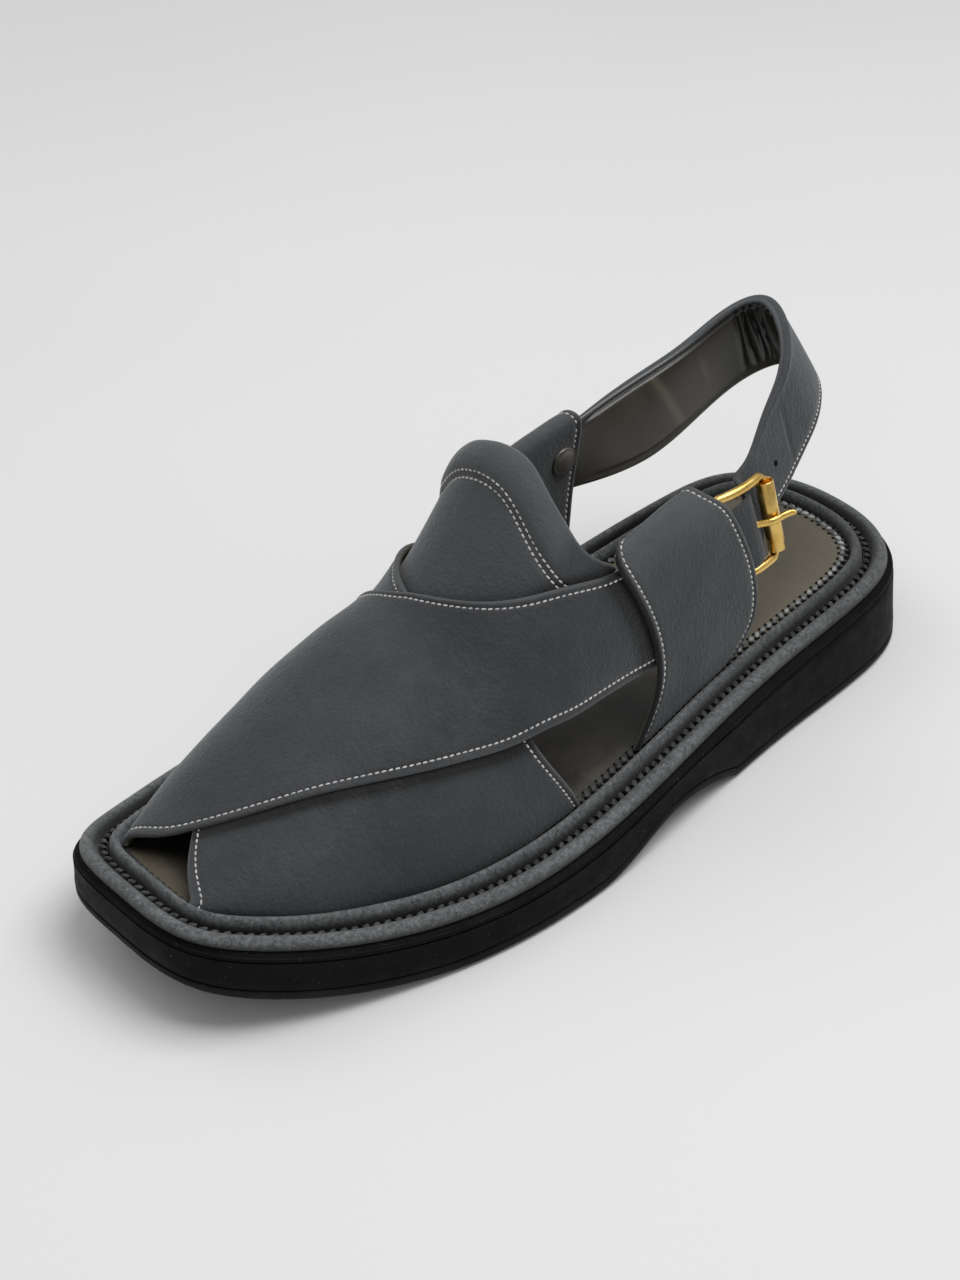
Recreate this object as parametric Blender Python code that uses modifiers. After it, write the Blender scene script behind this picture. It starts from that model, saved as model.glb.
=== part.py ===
"""Peshawari chappal, the left shoe of a pair, standing empty on its sole.

Units are metres, +Z is up, the toe points to -Y, the heel to +Y and the outer (lateral)
side to +X. The floor is z = 0 and the origin lies under the middle of the shoe's box.
Run with: blender --background --python part.py
"""
import math

import bmesh
import bpy
import numpy as np

# Driving sizes of the sole, measured at the edge of the welt
SOLE_LENGTH = 0.298
TOE_WIDTH = 0.058
BALL_WIDTH = 0.121
WAIST_WIDTH = 0.102
HEEL_WIDTH = 0.092
TOE_SPRING = 0.0155
ARCH_RISE = 0.0078
TOE_THICK = 0.0155
BALL_THICK = 0.0168
HEEL_THICK = 0.0288
OUTSOLE_THICK = 0.0038
SOLE_FLARE = 0.0030

# Welt, rand and insole on top of the sole
BEAD_WIDTH = 0.0052
BEAD_HEIGHT = 0.0042
CHANNEL_WIDTH = 0.0028
CHANNEL_HEIGHT = 0.0016
RAND_WIDTH = 0.0040
RAND_HEIGHT = 0.0058
INSOLE_THICK = 0.0030

# Upper
LEATHER = 0.0020
BITE = 0.0005
INSTEP_HEIGHT = 0.118
INSTEP_OFFSET = 0.010
MEDIAL_SPLAY = 0.0045
MEDIAL_FULLNESS = 0.20
TONGUE_THICK = 0.0028
TONGUE_PAD = 0.0030
SLEEVE_LEATHER = 0.0018
SLEEVE_DEPTH = 0.0088

# Heel strap
STRAP_SPAN = 0.066
STRAP_MIDDLE = -0.0066
STRAP_REACH = 0.127
STRAP_HEIGHT = 0.112
STRAP_WIDTH = 0.028
STRAP_THICK = 0.0038
TAIL_THICK = 0.0014
HALF = 0.5
PADDING_IN = 0.2

# Buckle and rivet
WIRE_RADIUS = 0.00125
PRONG_RADIUS = 0.0010
BUCKLE_WIDTH = 0.0286
BUCKLE_CORNER = 0.0030
ROLLER_LENGTH = 0.0244
ROLLER_RADIUS = 0.0029
ROLLER_WALL = 0.0006
BUCKLE_REACH = 0.0213
RIVET_RADIUS = 0.0037
RIVET_HEIGHT = 0.0011

# Fits
GAP = 0.0003
FOOT_CLEARANCE = 0.0006

# Fineness of the solids
RING_COUNT = 88
BEAD_STEPS = 6

# Sole outline from toe to heel: share of the length, the width that the row follows, and
# the lateral and medial shares of it, from the line through the middle of the ball
OUTLINE = (
    # along, width, lateral, medial
    (-0.488, TOE_WIDTH, 0.482, 0.555),
    (-0.437, BALL_WIDTH, 0.330, 0.347),
    (-0.320, BALL_WIDTH, 0.439, 0.454),
    (-0.187, BALL_WIDTH, 0.500, 0.500),
    (-0.038, BALL_WIDTH, 0.483, 0.464),
    (0.114, WAIST_WIDTH, 0.493, 0.510),
    (0.247, HEEL_WIDTH, 0.476, 0.554),
    (0.362, HEEL_WIDTH, 0.431, 0.554),
    (0.452, HEEL_WIDTH, 0.328, 0.484),
    (0.491, HEEL_WIDTH, 0.137, 0.293),
)
TOE_MIDDLE = -0.06
TOE_BULGE = 1.012
HEEL_MIDDLE = -0.07

# Top of the sole block: share of the length, the thickness that the row follows, its share
SOLE_TOP = (
    # along, height, share
    (-0.503, TOE_SPRING + TOE_THICK, 1.020),
    (-0.302, BALL_THICK, 1.040),
    (-0.100, BALL_THICK, 0.980),
    (0.100, HEEL_THICK, 0.757),
    (0.302, HEEL_THICK, 0.917),
    (0.503, HEEL_THICK, 1.014),
)
SPRING_START = -0.240
SPRING_POWER = 1.7
ARCH_START = -0.084
ARCH_CREST = 0.040
HEEL_BREAST = 0.145

# Foot form: height of its crest, sideways place of the crest, fullness of the section
# (2 is an ellipse, less is peaked) and how far the medial side leans out
FORM = (
    # along, crest, offset, fullness, splay
    (-0.465, 0.284, 0.30, 2.10, 0.00),
    (-0.420, 0.330, 0.35, 2.10, 0.00),
    (-0.270, 0.482, 0.70, 2.10, 0.00),
    (-0.168, 0.575, 1.00, 2.00, 0.00),
    (-0.117, 0.625, 1.00, 1.95, 0.00),
    (-0.070, 0.746, 1.00, 1.85, 0.10),
    (-0.024, 0.902, 1.00, 1.78, 0.30),
    (0.010, 0.992, 1.00, 1.75, 0.45),
    (0.080, 1.085, 0.90, 1.75, 0.70),
    (0.200, 1.119, 0.70, 1.75, 1.00),
)

# Both bands of the vamp, each a row for every rung between its upper and lower edge.
# turn runs over the foot form from the lateral sole edge (0) to the medial one (1)
OVER_BAND = (
    # upper turn, upper along, lower turn, lower along
    (0.192, 0.085, 0.066, 0.085),
    (0.203, 0.045, 0.076, 0.045),
    (0.235, 0.003, 0.099, -0.015),
    (0.300, -0.045, 0.129, -0.060),
    (0.395, -0.085, 0.173, -0.115),
    (0.510, -0.110, 0.234, -0.215),
    (0.610, -0.117, 0.335, -0.320),
    (0.720, -0.114, 0.485, -0.413),
    (0.860, -0.100, 0.715, -0.447),
    (1.000, -0.066, 1.000, -0.456),
)
UNDER_BAND = (
    # upper turn, upper along, lower turn, lower along
    (0.826, 0.085, 0.912, 0.085),
    (0.824, 0.040, 0.908, 0.045),
    (0.822, -0.008, 0.888, -0.020),
    (0.735, -0.056, 0.862, -0.075),
    (0.625, -0.092, 0.820, -0.130),
    (0.510, -0.111, 0.750, -0.225),
    (0.390, -0.118, 0.650, -0.325),
    (0.280, -0.115, 0.492, -0.416),
    (0.150, -0.102, 0.320, -0.4485),
    (0.070, -0.085, 0.165, -0.4535),
    (0.000, -0.064, 0.000, -0.4535),
)

# Tongue: its hidden front edge and its free rim for each turn over the foot form
TONGUE = (
    # turn, front, rim
    (0.200, -0.030, 0.054),
    (0.240, -0.075, 0.030),
    (0.300, -0.120, 0.0165),
    (0.360, -0.150, 0.0135),
    (0.420, -0.170, 0.0135),
    (0.500, -0.180, 0.0055),
    (0.580, -0.170, 0.006),
    (0.650, -0.150, 0.011),
    (0.720, -0.120, 0.018),
    (0.780, -0.070, 0.029),
    (0.800, -0.030, 0.040),
)
TONGUE_STITCH = -0.022

# Buckle: where its bar lies in the lateral band, and the way it points from there
BAR_TOP = 0.192
BAR_LOW = 0.094
BAR_ALONG = 0.189
BAR_LEAN = 0.003
BAR_SHARE = 0.92
BAR_SPLAY = -0.0002
BUCKLE_DIRECTION = (0.06, 1.0, -0.06)
RIVET_TURN = 0.157
RIVET_ALONG = 0.169
RIVET_LIFT = -0.0011

# Side band: a folded sleeve. Each row is a line along it, from the outer foot over the
# top fold and down inside; out is the share of SLEEVE_DEPTH that it stands off the form.
# The medial band is lower and ends sooner, its inner wall turned out at the rear
SLEEVE = (
    # turn, front, rear, front out, rear out, medial rear, medial rear out
    (0.000, 0.028, 0.196, 0.225, 0.225, 0.172, 0.225),
    (0.030, 0.050, 0.213, 0.38, 0.68, 0.176, 0.50),
    (0.060, 0.064, 0.224, 0.50, 1.00, 0.180, 0.80),
    (0.100, 0.066, 0.226, 0.54, 1.12, 0.184, 1.00),
    (0.150, 0.057, 0.213, 0.54, 1.12, 0.188, 1.00),
    (0.190, 0.047, 0.192, 0.54, 1.04, 0.190, 0.96),
    (0.216, 0.043, 0.172, 0.50, 0.80, 0.189, 0.84),
    (0.228, 0.050, 0.164, 0.30, 0.45, 0.192, 0.50),
    (0.224, 0.062, 0.164, 0.00, 0.05, 0.196, 0.12),
    (0.205, 0.068, 0.172, -0.24, -0.24, 0.196, -0.06),
    (0.150, 0.076, 0.186, -0.29, -0.29, 0.193, 0.00),
    (0.090, 0.084, 0.190, -0.29, -0.29, 0.186, 0.03),
)
MEDIAL_TOP = 0.91

# Heel strap: a row for each station from the medial side round the heel to the buckle.
# across, along and height place its upper edge, lean x and lean y splay its lower edge
STRAP = (
    # across, along, height, width, lean x, lean y, thick
    (-0.520, 0.410, 0.742, 0.80, -0.03, 0.10, 0.36),
    (-0.545, 0.650, 0.795, 0.98, 0.30, 0.10, 1.0),
    (-0.490, 0.850, 0.862, 0.96, 0.16, 0.12, 1.0),
    (-0.392, 0.968, 0.952, 1.00, 0.10, 0.21, 1.0),
    (-0.240, 1.003, 1.000, 1.00, 0.14, 0.33, 1.0),
    (-0.030, 0.960, 0.988, 0.97, 0.19, 0.42, 1.0),
    (0.180, 0.855, 0.934, 0.89, 0.19, 0.48, 0.9),
    (0.326, 0.700, 0.854, 0.85, 0.19, 0.48, 0.6),
)

# Free end of the strap in the buckle's own directions: past the roller, over the bar,
# round it and back in. back and skew are shares of BUCKLE_REACH, out of the run's distance
# from the bar's middle, upper and lower of STRAP_WIDTH, thick of TAIL_THICK
STRAP_END = (
    # back, out, upper, lower, skew, thick
    (1.120, -2.80, 0.585, 0.130, 0.20, 1.5),
    (0.810, -1.70, 0.540, 0.250, 0.16, 1.1),
    (0.720, -0.30, 0.460, 0.370, 0.07, 1.0),
    (0.640, 0.80, 0.410, 0.440, 0.02, 1.0),
    (0.500, 1.06, 0.380, 0.480, 0.00, 1.0),
    (0.320, 1.00, 0.350, 0.450, 0.00, 1.0),
    (0.140, 0.96, 0.330, 0.380, 0.00, 1.0),
    (0.020, 1.00, 0.340, 0.340, 0.00, 1.0),
    (-0.072, 0.70, 0.340, 0.340, 0.00, 1.0),
    (-0.101, 0.00, 0.340, 0.340, 0.00, 1.0),
    (-0.072, -0.70, 0.340, 0.340, 0.00, 1.0),
    (0.000, -1.02, 0.340, 0.340, 0.00, 1.0),
    (0.120, -1.70, 0.330, 0.330, 0.00, 1.0),
    (0.300, -3.20, 0.300, 0.300, 0.00, 1.0),
    (0.780, -8.60, 0.030, 0.030, 0.00, 1.0),
)


def spline(places, values):
    """A smooth curve (natural cubic) through the rows of a table, as a function."""
    xs = np.asarray(places, float)
    ys = np.asarray(values, float)
    count = len(xs)
    step = np.diff(xs)
    matrix = np.eye(count)
    right = np.zeros(count)
    for i in range(1, count - 1):
        matrix[i, i - 1:i + 2] = step[i - 1], 2 * (step[i - 1] + step[i]), step[i]
        right[i] = 6 * ((ys[i + 1] - ys[i]) / step[i] - (ys[i] - ys[i - 1]) / step[i - 1])
    bend = np.linalg.solve(matrix, right)

    def at(x):
        x = np.asarray(x, float)
        i = np.clip(np.searchsorted(xs, x) - 1, 0, count - 2)
        left = np.clip(x, xs[0], xs[-1]) - xs[i]
        gone = xs[i + 1] - np.clip(x, xs[0], xs[-1])
        width = step[i]
        value = (bend[i] * gone ** 3 + bend[i + 1] * left ** 3) / (6 * width)
        value = value + (ys[i] / width - bend[i] * width / 6) * gone
        value = value + (ys[i + 1] / width - bend[i + 1] * width / 6) * left
        low = (ys[1] - ys[0]) / step[0] - bend[1] * step[0] / 6
        high = (ys[-1] - ys[-2]) / step[-1] + bend[-2] * step[-1] / 6
        return value + np.minimum(x - xs[0], 0) * low + np.maximum(x - xs[-1], 0) * high

    return at


def column(table, place, value, scale_place=1.0, scale_value=1.0):
    """A smooth function of one column of a table by another."""
    return spline([row[place] * scale_place for row in table],
                  [row[value] * scale_value for row in table])


def ease(share):
    """A soft step from 0 to 1."""
    share = np.clip(share, 0, 1)
    return share * share * (3 - 2 * share)


# The two long sides of the outline, as x for each y
lateral_line = spline([row[0] * SOLE_LENGTH for row in OUTLINE], [row[1] * row[2] for row in OUTLINE])
medial_line = spline([row[0] * SOLE_LENGTH for row in OUTLINE], [-row[1] * row[3] for row in OUTLINE])
sole_top = spline([row[0] * SOLE_LENGTH for row in SOLE_TOP], [row[1] * row[2] for row in SOLE_TOP])


def sole_under(y):
    """Height of the underside: flat at the ball and heel, toe spring and a short arch."""
    share = np.asarray(y, float) / SOLE_LENGTH
    toe = np.clip((SPRING_START - share) / (SPRING_START + 0.5), 0, None)
    rise = np.clip((share - ARCH_START) / (ARCH_CREST - ARCH_START), 0, 1)
    fall = np.clip((share - ARCH_CREST) / (HEEL_BREAST - ARCH_CREST), 0, 1)
    return TOE_SPRING * toe ** SPRING_POWER + ARCH_RISE * ease(rise) * (1 - fall ** 2)


def outline_ring(inset, count=RING_COUNT):
    """The outline moved inwards, as count points from the toe's middle round the
    lateral side to the heel's middle and back along the medial side."""
    points = [(TOE_MIDDLE * TOE_WIDTH, -SOLE_LENGTH / 2 * TOE_BULGE)]
    points += [(row[1] * row[2], row[0] * SOLE_LENGTH) for row in OUTLINE]
    points += [(HEEL_MIDDLE * HEEL_WIDTH, SOLE_LENGTH / 2)]
    points += [(-row[1] * row[3], row[0] * SOLE_LENGTH) for row in reversed(OUTLINE)]
    points = np.array(points)
    half = len(OUTLINE) + 1
    around = np.concatenate([points, points, points, points[:1]])
    walk = np.concatenate([[0], np.cumsum(np.hypot(*np.diff(around, axis=0).T))])
    x_at = spline(walk, around[:, 0])
    y_at = spline(walk, around[:, 1])
    start = len(points)
    halves = []
    for first, last in ((start, start + half), (start + half, 2 * start)):
        fine = np.linspace(walk[first], walk[last], 40 * len(OUTLINE))
        length = np.hypot(np.diff(x_at(fine)), np.diff(y_at(fine)))
        length = np.concatenate([[0], np.cumsum(length)])
        even = np.linspace(0, length[-1], count // 2 + 1)[:-1]
        halves.append(np.interp(even, length, fine))
    place = np.concatenate(halves)
    nudge = 0.0005
    dx = x_at(place + nudge) - x_at(place - nudge)
    dy = y_at(place + nudge) - y_at(place - nudge)
    size = np.hypot(dx, dy)
    return np.stack([x_at(place) - inset * dy / size, y_at(place) + inset * dx / size], -1)


def at_height(ring, height):
    """A flat ring lifted to the heights that a function gives for its y values."""
    return np.column_stack([ring, height(ring[:, 1])])


# The strap's run beside the bar, and how far the bar lifts off the form to leave it room
RUN_OUT = WIRE_RADIUS + GAP + TAIL_THICK / 2
BAR_LIFT = BAR_SHARE * SLEEVE_DEPTH - SLEEVE_LEATHER - GAP - TAIL_THICK / 2 - RUN_OUT

RAND_OUTER = BEAD_WIDTH + CHANNEL_WIDTH + GAP
RAND_INNER = RAND_OUTER + RAND_WIDTH
FOOT_INSET = RAND_INNER + 2 * GAP + LEATHER

crest_height = column(FORM, 0, 1, SOLE_LENGTH, INSTEP_HEIGHT)
crest_offset = column(FORM, 0, 2, SOLE_LENGTH, -INSTEP_OFFSET)
fullness = column(FORM, 0, 3, SOLE_LENGTH)
splay = column(FORM, 0, 4, SOLE_LENGTH, MEDIAL_SPLAY)


def seat(y):
    """Height at which the upper stands on the insole's edge."""
    return sole_top(y) + GAP + INSOLE_THICK + FOOT_CLEARANCE


def foot_line(line, y, inset):
    """One long side of the outline moved inwards by an inset."""
    nudge = 0.0001
    slope = (line(y + nudge) - line(y - nudge)) / (2 * nudge)
    side = 1 if line is lateral_line else -1
    return line(y) - side * inset * np.sqrt(1 + slope ** 2)


def section(turn, y):
    """A point of the foot form: turn 0 is the lateral foot, 0.5 the crest, 1 the medial."""
    turn, y = np.broadcast_arrays(np.asarray(turn, float), np.asarray(y, float))
    across = np.cos(turn * math.pi)
    up = np.sin(turn * math.pi)
    power = fullness(y) + np.where(across < 0, MEDIAL_FULLNESS, 0)
    size = (np.abs(across) ** power + np.abs(up) ** power) ** (-1 / power)
    middle = crest_offset(y)
    lateral = foot_line(lateral_line, y, FOOT_INSET) - middle
    medial = middle - foot_line(medial_line, y, FOOT_INSET)
    x = middle + np.where(across > 0, lateral, medial) * size * across
    x = x - np.where(across < 0, splay(y) * 2 * up * np.abs(across), 0)
    return np.stack([x, y, seat(y) + (crest_height(y) - seat(y)) * size * up], -1)


def form(turn, y, lift):
    """A point of the foot form moved out along its normal."""
    turn, y, lift = np.broadcast_arrays(*(np.asarray(v, float) for v in (turn, y, lift)))
    by_turn = section(turn + 0.002, y) - section(turn - 0.002, y)
    by_along = section(turn, y + 0.0005) - section(turn, y - 0.0005)
    normal = np.cross(by_along, by_turn)
    normal = normal / np.linalg.norm(normal, axis=-1, keepdims=True)
    return section(turn, y) + normal * lift[..., None]


# Object helpers
def clear_scene():
    for item in list(bpy.data.objects):
        bpy.data.objects.remove(item, do_unlink=True)
    for item in list(bpy.data.collections):
        bpy.data.collections.remove(item)


def collection(name):
    made = bpy.data.collections.new(name)
    bpy.context.scene.collection.children.link(made)
    return made


def material(name, color, roughness, metallic=0.0):
    made = bpy.data.materials.new(name)
    made.use_nodes = True
    shader = made.node_tree.nodes["Principled BSDF"]
    shader.inputs["Base Color"].default_value = (*color, 1.0)
    shader.inputs["Roughness"].default_value = roughness
    shader.inputs["Metallic"].default_value = metallic
    made.diffuse_color = (*color, 1.0)
    return made


def object_from(name, vertices, faces, home, finish):
    """A mesh object whose faces all point out."""
    mesh = bpy.data.meshes.new(name)
    mesh.from_pydata([tuple(v) for v in vertices], [], faces)
    mesh.update()
    made = bpy.data.objects.new(name, mesh)
    home.objects.link(made)
    if finish is not None:
        mesh.materials.append(finish)
    mesh.shade_smooth()
    mesh.set_sharp_from_angle(angle=math.radians(40))
    return made


def point_out(made):
    """Turns all faces of a closed mesh to point out."""
    shape = bmesh.new()
    shape.from_mesh(made.data)
    bmesh.ops.recalc_face_normals(shape, faces=shape.faces)
    shape.to_mesh(made.data)
    shape.free()
    return made


def stacked(name, rings, home, finish):
    """A closed solid through rings of points, with ladders of faces across both ends."""
    count = len(rings[0])
    faces = []
    for level in range(len(rings) - 1):
        for i in range(count):
            j = (i + 1) % count
            faces.append((level * count + i, level * count + j,
                          (level + 1) * count + j, (level + 1) * count + i))
    for level in (0, len(rings) - 1):
        for i in range(count // 2):
            far = (count - i) % count
            rung = [i, i + 1, count - i - 1, far]
            rung = [level * count + v for v in dict.fromkeys(rung)]
            if len(rung) > 2:
                faces.append(tuple(rung))
    return point_out(object_from(name, np.concatenate(rings), faces, home, finish))


def hoop(name, rings, home, finish):
    """A closed ring-shaped solid: rings joined in a loop round its section."""
    count = len(rings[0])
    faces = []
    for level in range(len(rings)):
        above = (level + 1) % len(rings)
        for i in range(count):
            j = (i + 1) % count
            faces.append((level * count + i, level * count + j, above * count + j, above * count + i))
    return point_out(object_from(name, np.concatenate(rings), faces, home, finish))


def sheet(name, grid, home, finish):
    """An open surface from a grid of points."""
    rows, columns = grid.shape[:2]
    faces = []
    for r in range(rows - 1):
        for c in range(columns - 1):
            faces.append((r * columns + c, r * columns + c + 1,
                          (r + 1) * columns + c + 1, (r + 1) * columns + c))
    return object_from(name, grid.reshape(-1, 3), faces, home, finish)


def slab(name, inner, outer, home, finish):
    """A closed solid between two surfaces with the same grid, for a wall that varies."""
    rows, columns = inner.shape[:2]
    count = rows * columns
    faces = []
    for r in range(rows - 1):
        for c in range(columns - 1):
            a, b = r * columns + c, r * columns + c + 1
            d, e = (r + 1) * columns + c + 1, (r + 1) * columns + c
            faces.append((a, b, d, e))
            faces.append((e + count, d + count, b + count, a + count))
    edge = [c for c in range(columns)]
    edge += [r * columns + columns - 1 for r in range(1, rows)]
    edge += [(rows - 1) * columns + c for c in range(columns - 2, -1, -1)]
    edge += [r * columns for r in range(rows - 2, 0, -1)]
    for a, b in zip(edge, edge[1:] + edge[:1]):
        faces.append((b, a, a + count, b + count))
    points = np.concatenate([inner.reshape(-1, 3), outer.reshape(-1, 3)])
    return point_out(object_from(name, points, faces, home, finish))


def thicken(made, thickness, offset):
    solid = made.modifiers.new("wall", "SOLIDIFY")
    solid.thickness = thickness
    solid.offset = offset
    return made


def combine(made, tool, operation):
    """A Boolean of two objects; the tool stays as a hidden guide."""
    tool.hide_render = True
    tool.display_type = "WIRE"
    cut = made.modifiers.new(operation.lower(), "BOOLEAN")
    cut.operation = operation
    cut.solver = "EXACT"
    cut.object = tool
    return made


def wire(name, points, radius, closed, home, finish):
    """A round wire through points, made as a curve and then kept as a mesh."""
    curve = bpy.data.curves.new(name, "CURVE")
    curve.dimensions = "3D"
    curve.bevel_depth = radius
    curve.bevel_resolution = 2
    curve.use_fill_caps = True
    line = curve.splines.new("POLY")
    line.points.add(len(points) - 1)
    for slot, point in zip(line.points, points):
        slot.co = (*point, 1.0)
    line.use_cyclic_u = closed
    made = bpy.data.objects.new(name, curve)
    home.objects.link(made)
    if finish is not None:
        curve.materials.append(finish)
    return made


# Sole
def make_outsole(home, finish):
    """Thin tread layer that follows the underside, its lower edge bevelled."""
    bevel = OUTSOLE_THICK * 0.35
    rings = [
        at_height(outline_ring(-SOLE_FLARE + bevel), sole_under),
        at_height(outline_ring(-SOLE_FLARE), lambda y: sole_under(y) + bevel),
        at_height(outline_ring(-SOLE_FLARE), lambda y: sole_under(y) + OUTSOLE_THICK),
    ]
    return stacked("outsole", rings, home, finish)


def make_midsole(home, finish):
    """Thick block from the tread layer to the welt, with a small lip along its top."""
    lip = SOLE_FLARE / 3
    base = OUTSOLE_THICK + GAP
    rings = [
        at_height(outline_ring(-SOLE_FLARE), lambda y: sole_under(y) + base),
        at_height(outline_ring(-SOLE_FLARE * 0.9), lambda y: (sole_under(y) + base + sole_top(y)) / 2),
        at_height(outline_ring(-SOLE_FLARE * 0.6), lambda y: sole_top(y) - 2.2 * lip),
        at_height(outline_ring(-SOLE_FLARE * 0.3), lambda y: sole_top(y) - 1.6 * lip),
        at_height(outline_ring(-SOLE_FLARE * 0.6), lambda y: sole_top(y) - 0.8 * lip),
        at_height(outline_ring(-SOLE_FLARE * 0.3), sole_top),
    ]
    return stacked("midsole", rings, home, finish)


def bead_profile(outer, width, base, height, steps=BEAD_STEPS):
    """Half-round roll as (inset, height) pairs, from its outer foot over to its inner."""
    angles = [math.pi * i / steps for i in range(steps + 1)]
    return [(outer + width * (1 - math.cos(a)) / 2, base + (height - base) * math.sin(a)) for a in angles]


def make_profiled(name, profile, home, finish):
    """A strip of a fixed section that runs all round on top of the sole block."""
    rings = []
    for inset, height in profile:
        rings.append(at_height(outline_ring(inset), lambda y, up=height: sole_top(y) + up))
    return hoop(name, rings, home, finish)


def make_welt(home, finish):
    """Outer roll with the flat stitched channel beside it, one folded leather strip."""
    profile = bead_profile(0.0, BEAD_WIDTH, CHANNEL_HEIGHT, BEAD_HEIGHT)
    profile += [(BEAD_WIDTH + CHANNEL_WIDTH, CHANNEL_HEIGHT), (BEAD_WIDTH + CHANNEL_WIDTH, GAP)]
    profile += [(BEAD_WIDTH * 0.1, GAP)]
    return make_profiled("welt", profile, home, finish)


def make_rand(home, finish):
    """Inner roll that the upper comes up behind."""
    profile = bead_profile(RAND_OUTER, RAND_WIDTH, CHANNEL_HEIGHT, RAND_HEIGHT)
    profile += [(RAND_INNER, GAP), (RAND_OUTER, GAP)]
    return make_profiled("rand", profile, home, finish)


def make_insole(home, finish):
    """Padded footbed inside the rand, its edge rounded over."""
    edge = RAND_INNER + GAP
    round_over = INSOLE_THICK * 0.3
    rings = [
        at_height(outline_ring(edge), lambda y: sole_top(y) + GAP),
        at_height(outline_ring(edge), lambda y: sole_top(y) + GAP + INSOLE_THICK - round_over),
        at_height(outline_ring(edge + round_over), lambda y: sole_top(y) + GAP + INSOLE_THICK),
    ]
    return stacked("insole", rings, home, finish)


# Upper
def rungs(table, rung_count, across_count):
    """Turn and y of a band's surface: smooth edges, straight rungs between them."""
    rows = np.linspace(0, 1, len(table))
    walk = np.linspace(0, 1, rung_count)[:, None]
    share = np.linspace(0, 1, across_count)[None, :]
    edges = [spline(rows, [row[i] for row in table])(walk) for i in range(4)]
    turn = np.clip(edges[0] + (edges[2] - edges[0]) * share, 0, 1)
    along = edges[1] + (edges[3] - edges[1]) * share
    return turn, along


def over_lift(turn, along):
    """The over band lies on the under band and comes down to the form beyond it."""
    medial_edge = spline([-row[3] for row in UNDER_BAND[:9]], [row[2] for row in UNDER_BAND[:9]])
    reach = np.clip(medial_edge(-along), 0.5, 0.95)
    down_medial = ease((1 - turn) / (1 - reach))
    down_lateral = ease((-0.01 - along) / 0.07)
    return (LEATHER - BITE) * down_medial * down_lateral


def make_band(name, table, lift, home, finish):
    turn, along = rungs(table, 25, 11)
    grid = form(turn, along * SOLE_LENGTH, lift(turn, along))
    made = sheet(name, grid, home, finish)
    return thicken(made, LEATHER, -1.0 if name == "vamp" else 1.0)


def make_tongue(home, finish):
    """Instep shield under the bands; its rim above the stitching is padded."""
    turns = np.linspace(TONGUE[0][0], TONGUE[-1][0], 21)[:, None]
    share = np.linspace(0, 1, 12)[None, :]
    front = column(TONGUE, 0, 1)(turns)
    rim = column(TONGUE, 0, 2)(turns)
    along = front + (rim - front) * share
    turn = np.broadcast_to(turns, along.shape)
    swell = np.clip((along - TONGUE_STITCH) / np.maximum(rim - TONGUE_STITCH, 0.001), 0, 1)
    shown = ease((0.24 - np.abs(turn - 0.5)) / 0.05)
    pad = TONGUE_PAD * shown * np.sin(swell * math.pi) ** 0.7
    y = along * SOLE_LENGTH
    inner = form(turn, y, -2 * GAP - TONGUE_THICK + 0 * along)
    outer = form(turn, y, -2 * GAP + pad)
    return slab("tongue", inner, outer, home, finish)


def sleeve_surface(medial, walk_count=19, across_count=7):
    """Outer face of a side band, from its outer foot over the fold and down inside."""
    rows = np.linspace(0, 1, len(SLEEVE))
    walk = np.linspace(0, 1, walk_count)[:, None]
    share = np.linspace(0, 1, across_count)[None, :]
    columns = (0, 1, 5, 3, 6) if medial else (0, 1, 2, 3, 4)
    turn, front, rear, out_front, out_rear = (
        spline(rows, [row[i] for row in SLEEVE])(walk) for i in columns)
    if medial:
        turn = turn * MEDIAL_TOP
    along = front + (rear - front) * share
    out = (out_front + (out_rear - out_front) * ease(share)) * SLEEVE_DEPTH
    turn = np.clip(turn, 0, 1) + 0 * share
    return form(1 - turn if medial else turn, along * SOLE_LENGTH, out)


def make_sleeve(name, medial, home, finish):
    made = sheet(name, sleeve_surface(medial), home, finish)
    return thicken(made, SLEEVE_LEATHER, 1.0 if medial else -1.0)


def strap_controls():
    """Upper edge, lower edge and thickness of the strap at each of its stations."""
    upper, lower, thick = [], [], []
    for across, along, height, width, lean_x, lean_y, share in STRAP:
        edge = np.array([across * STRAP_SPAN + STRAP_MIDDLE, along * STRAP_REACH, height * STRAP_HEIGHT])
        drop = math.sqrt(1 - lean_x ** 2 - lean_y ** 2)
        upper.append(edge)
        lower.append(edge + np.array([lean_x, lean_y, -drop]) * width * STRAP_WIDTH)
        thick.append(share * STRAP_THICK)
    middle, down, back, out = buckle_frame()
    bar = middle - back * BUCKLE_REACH / 2
    for back_share, out_share, up, low, skew, share in STRAP_END:
        place = bar + back * back_share * BUCKLE_REACH + out * out_share * RUN_OUT
        lean = back * skew * BUCKLE_REACH
        upper.append(place - lean - down * up * STRAP_WIDTH)
        lower.append(place + lean + down * low * STRAP_WIDTH)
        thick.append(share * TAIL_THICK)
    return np.array(upper), np.array(lower), np.array(thick)


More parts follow.
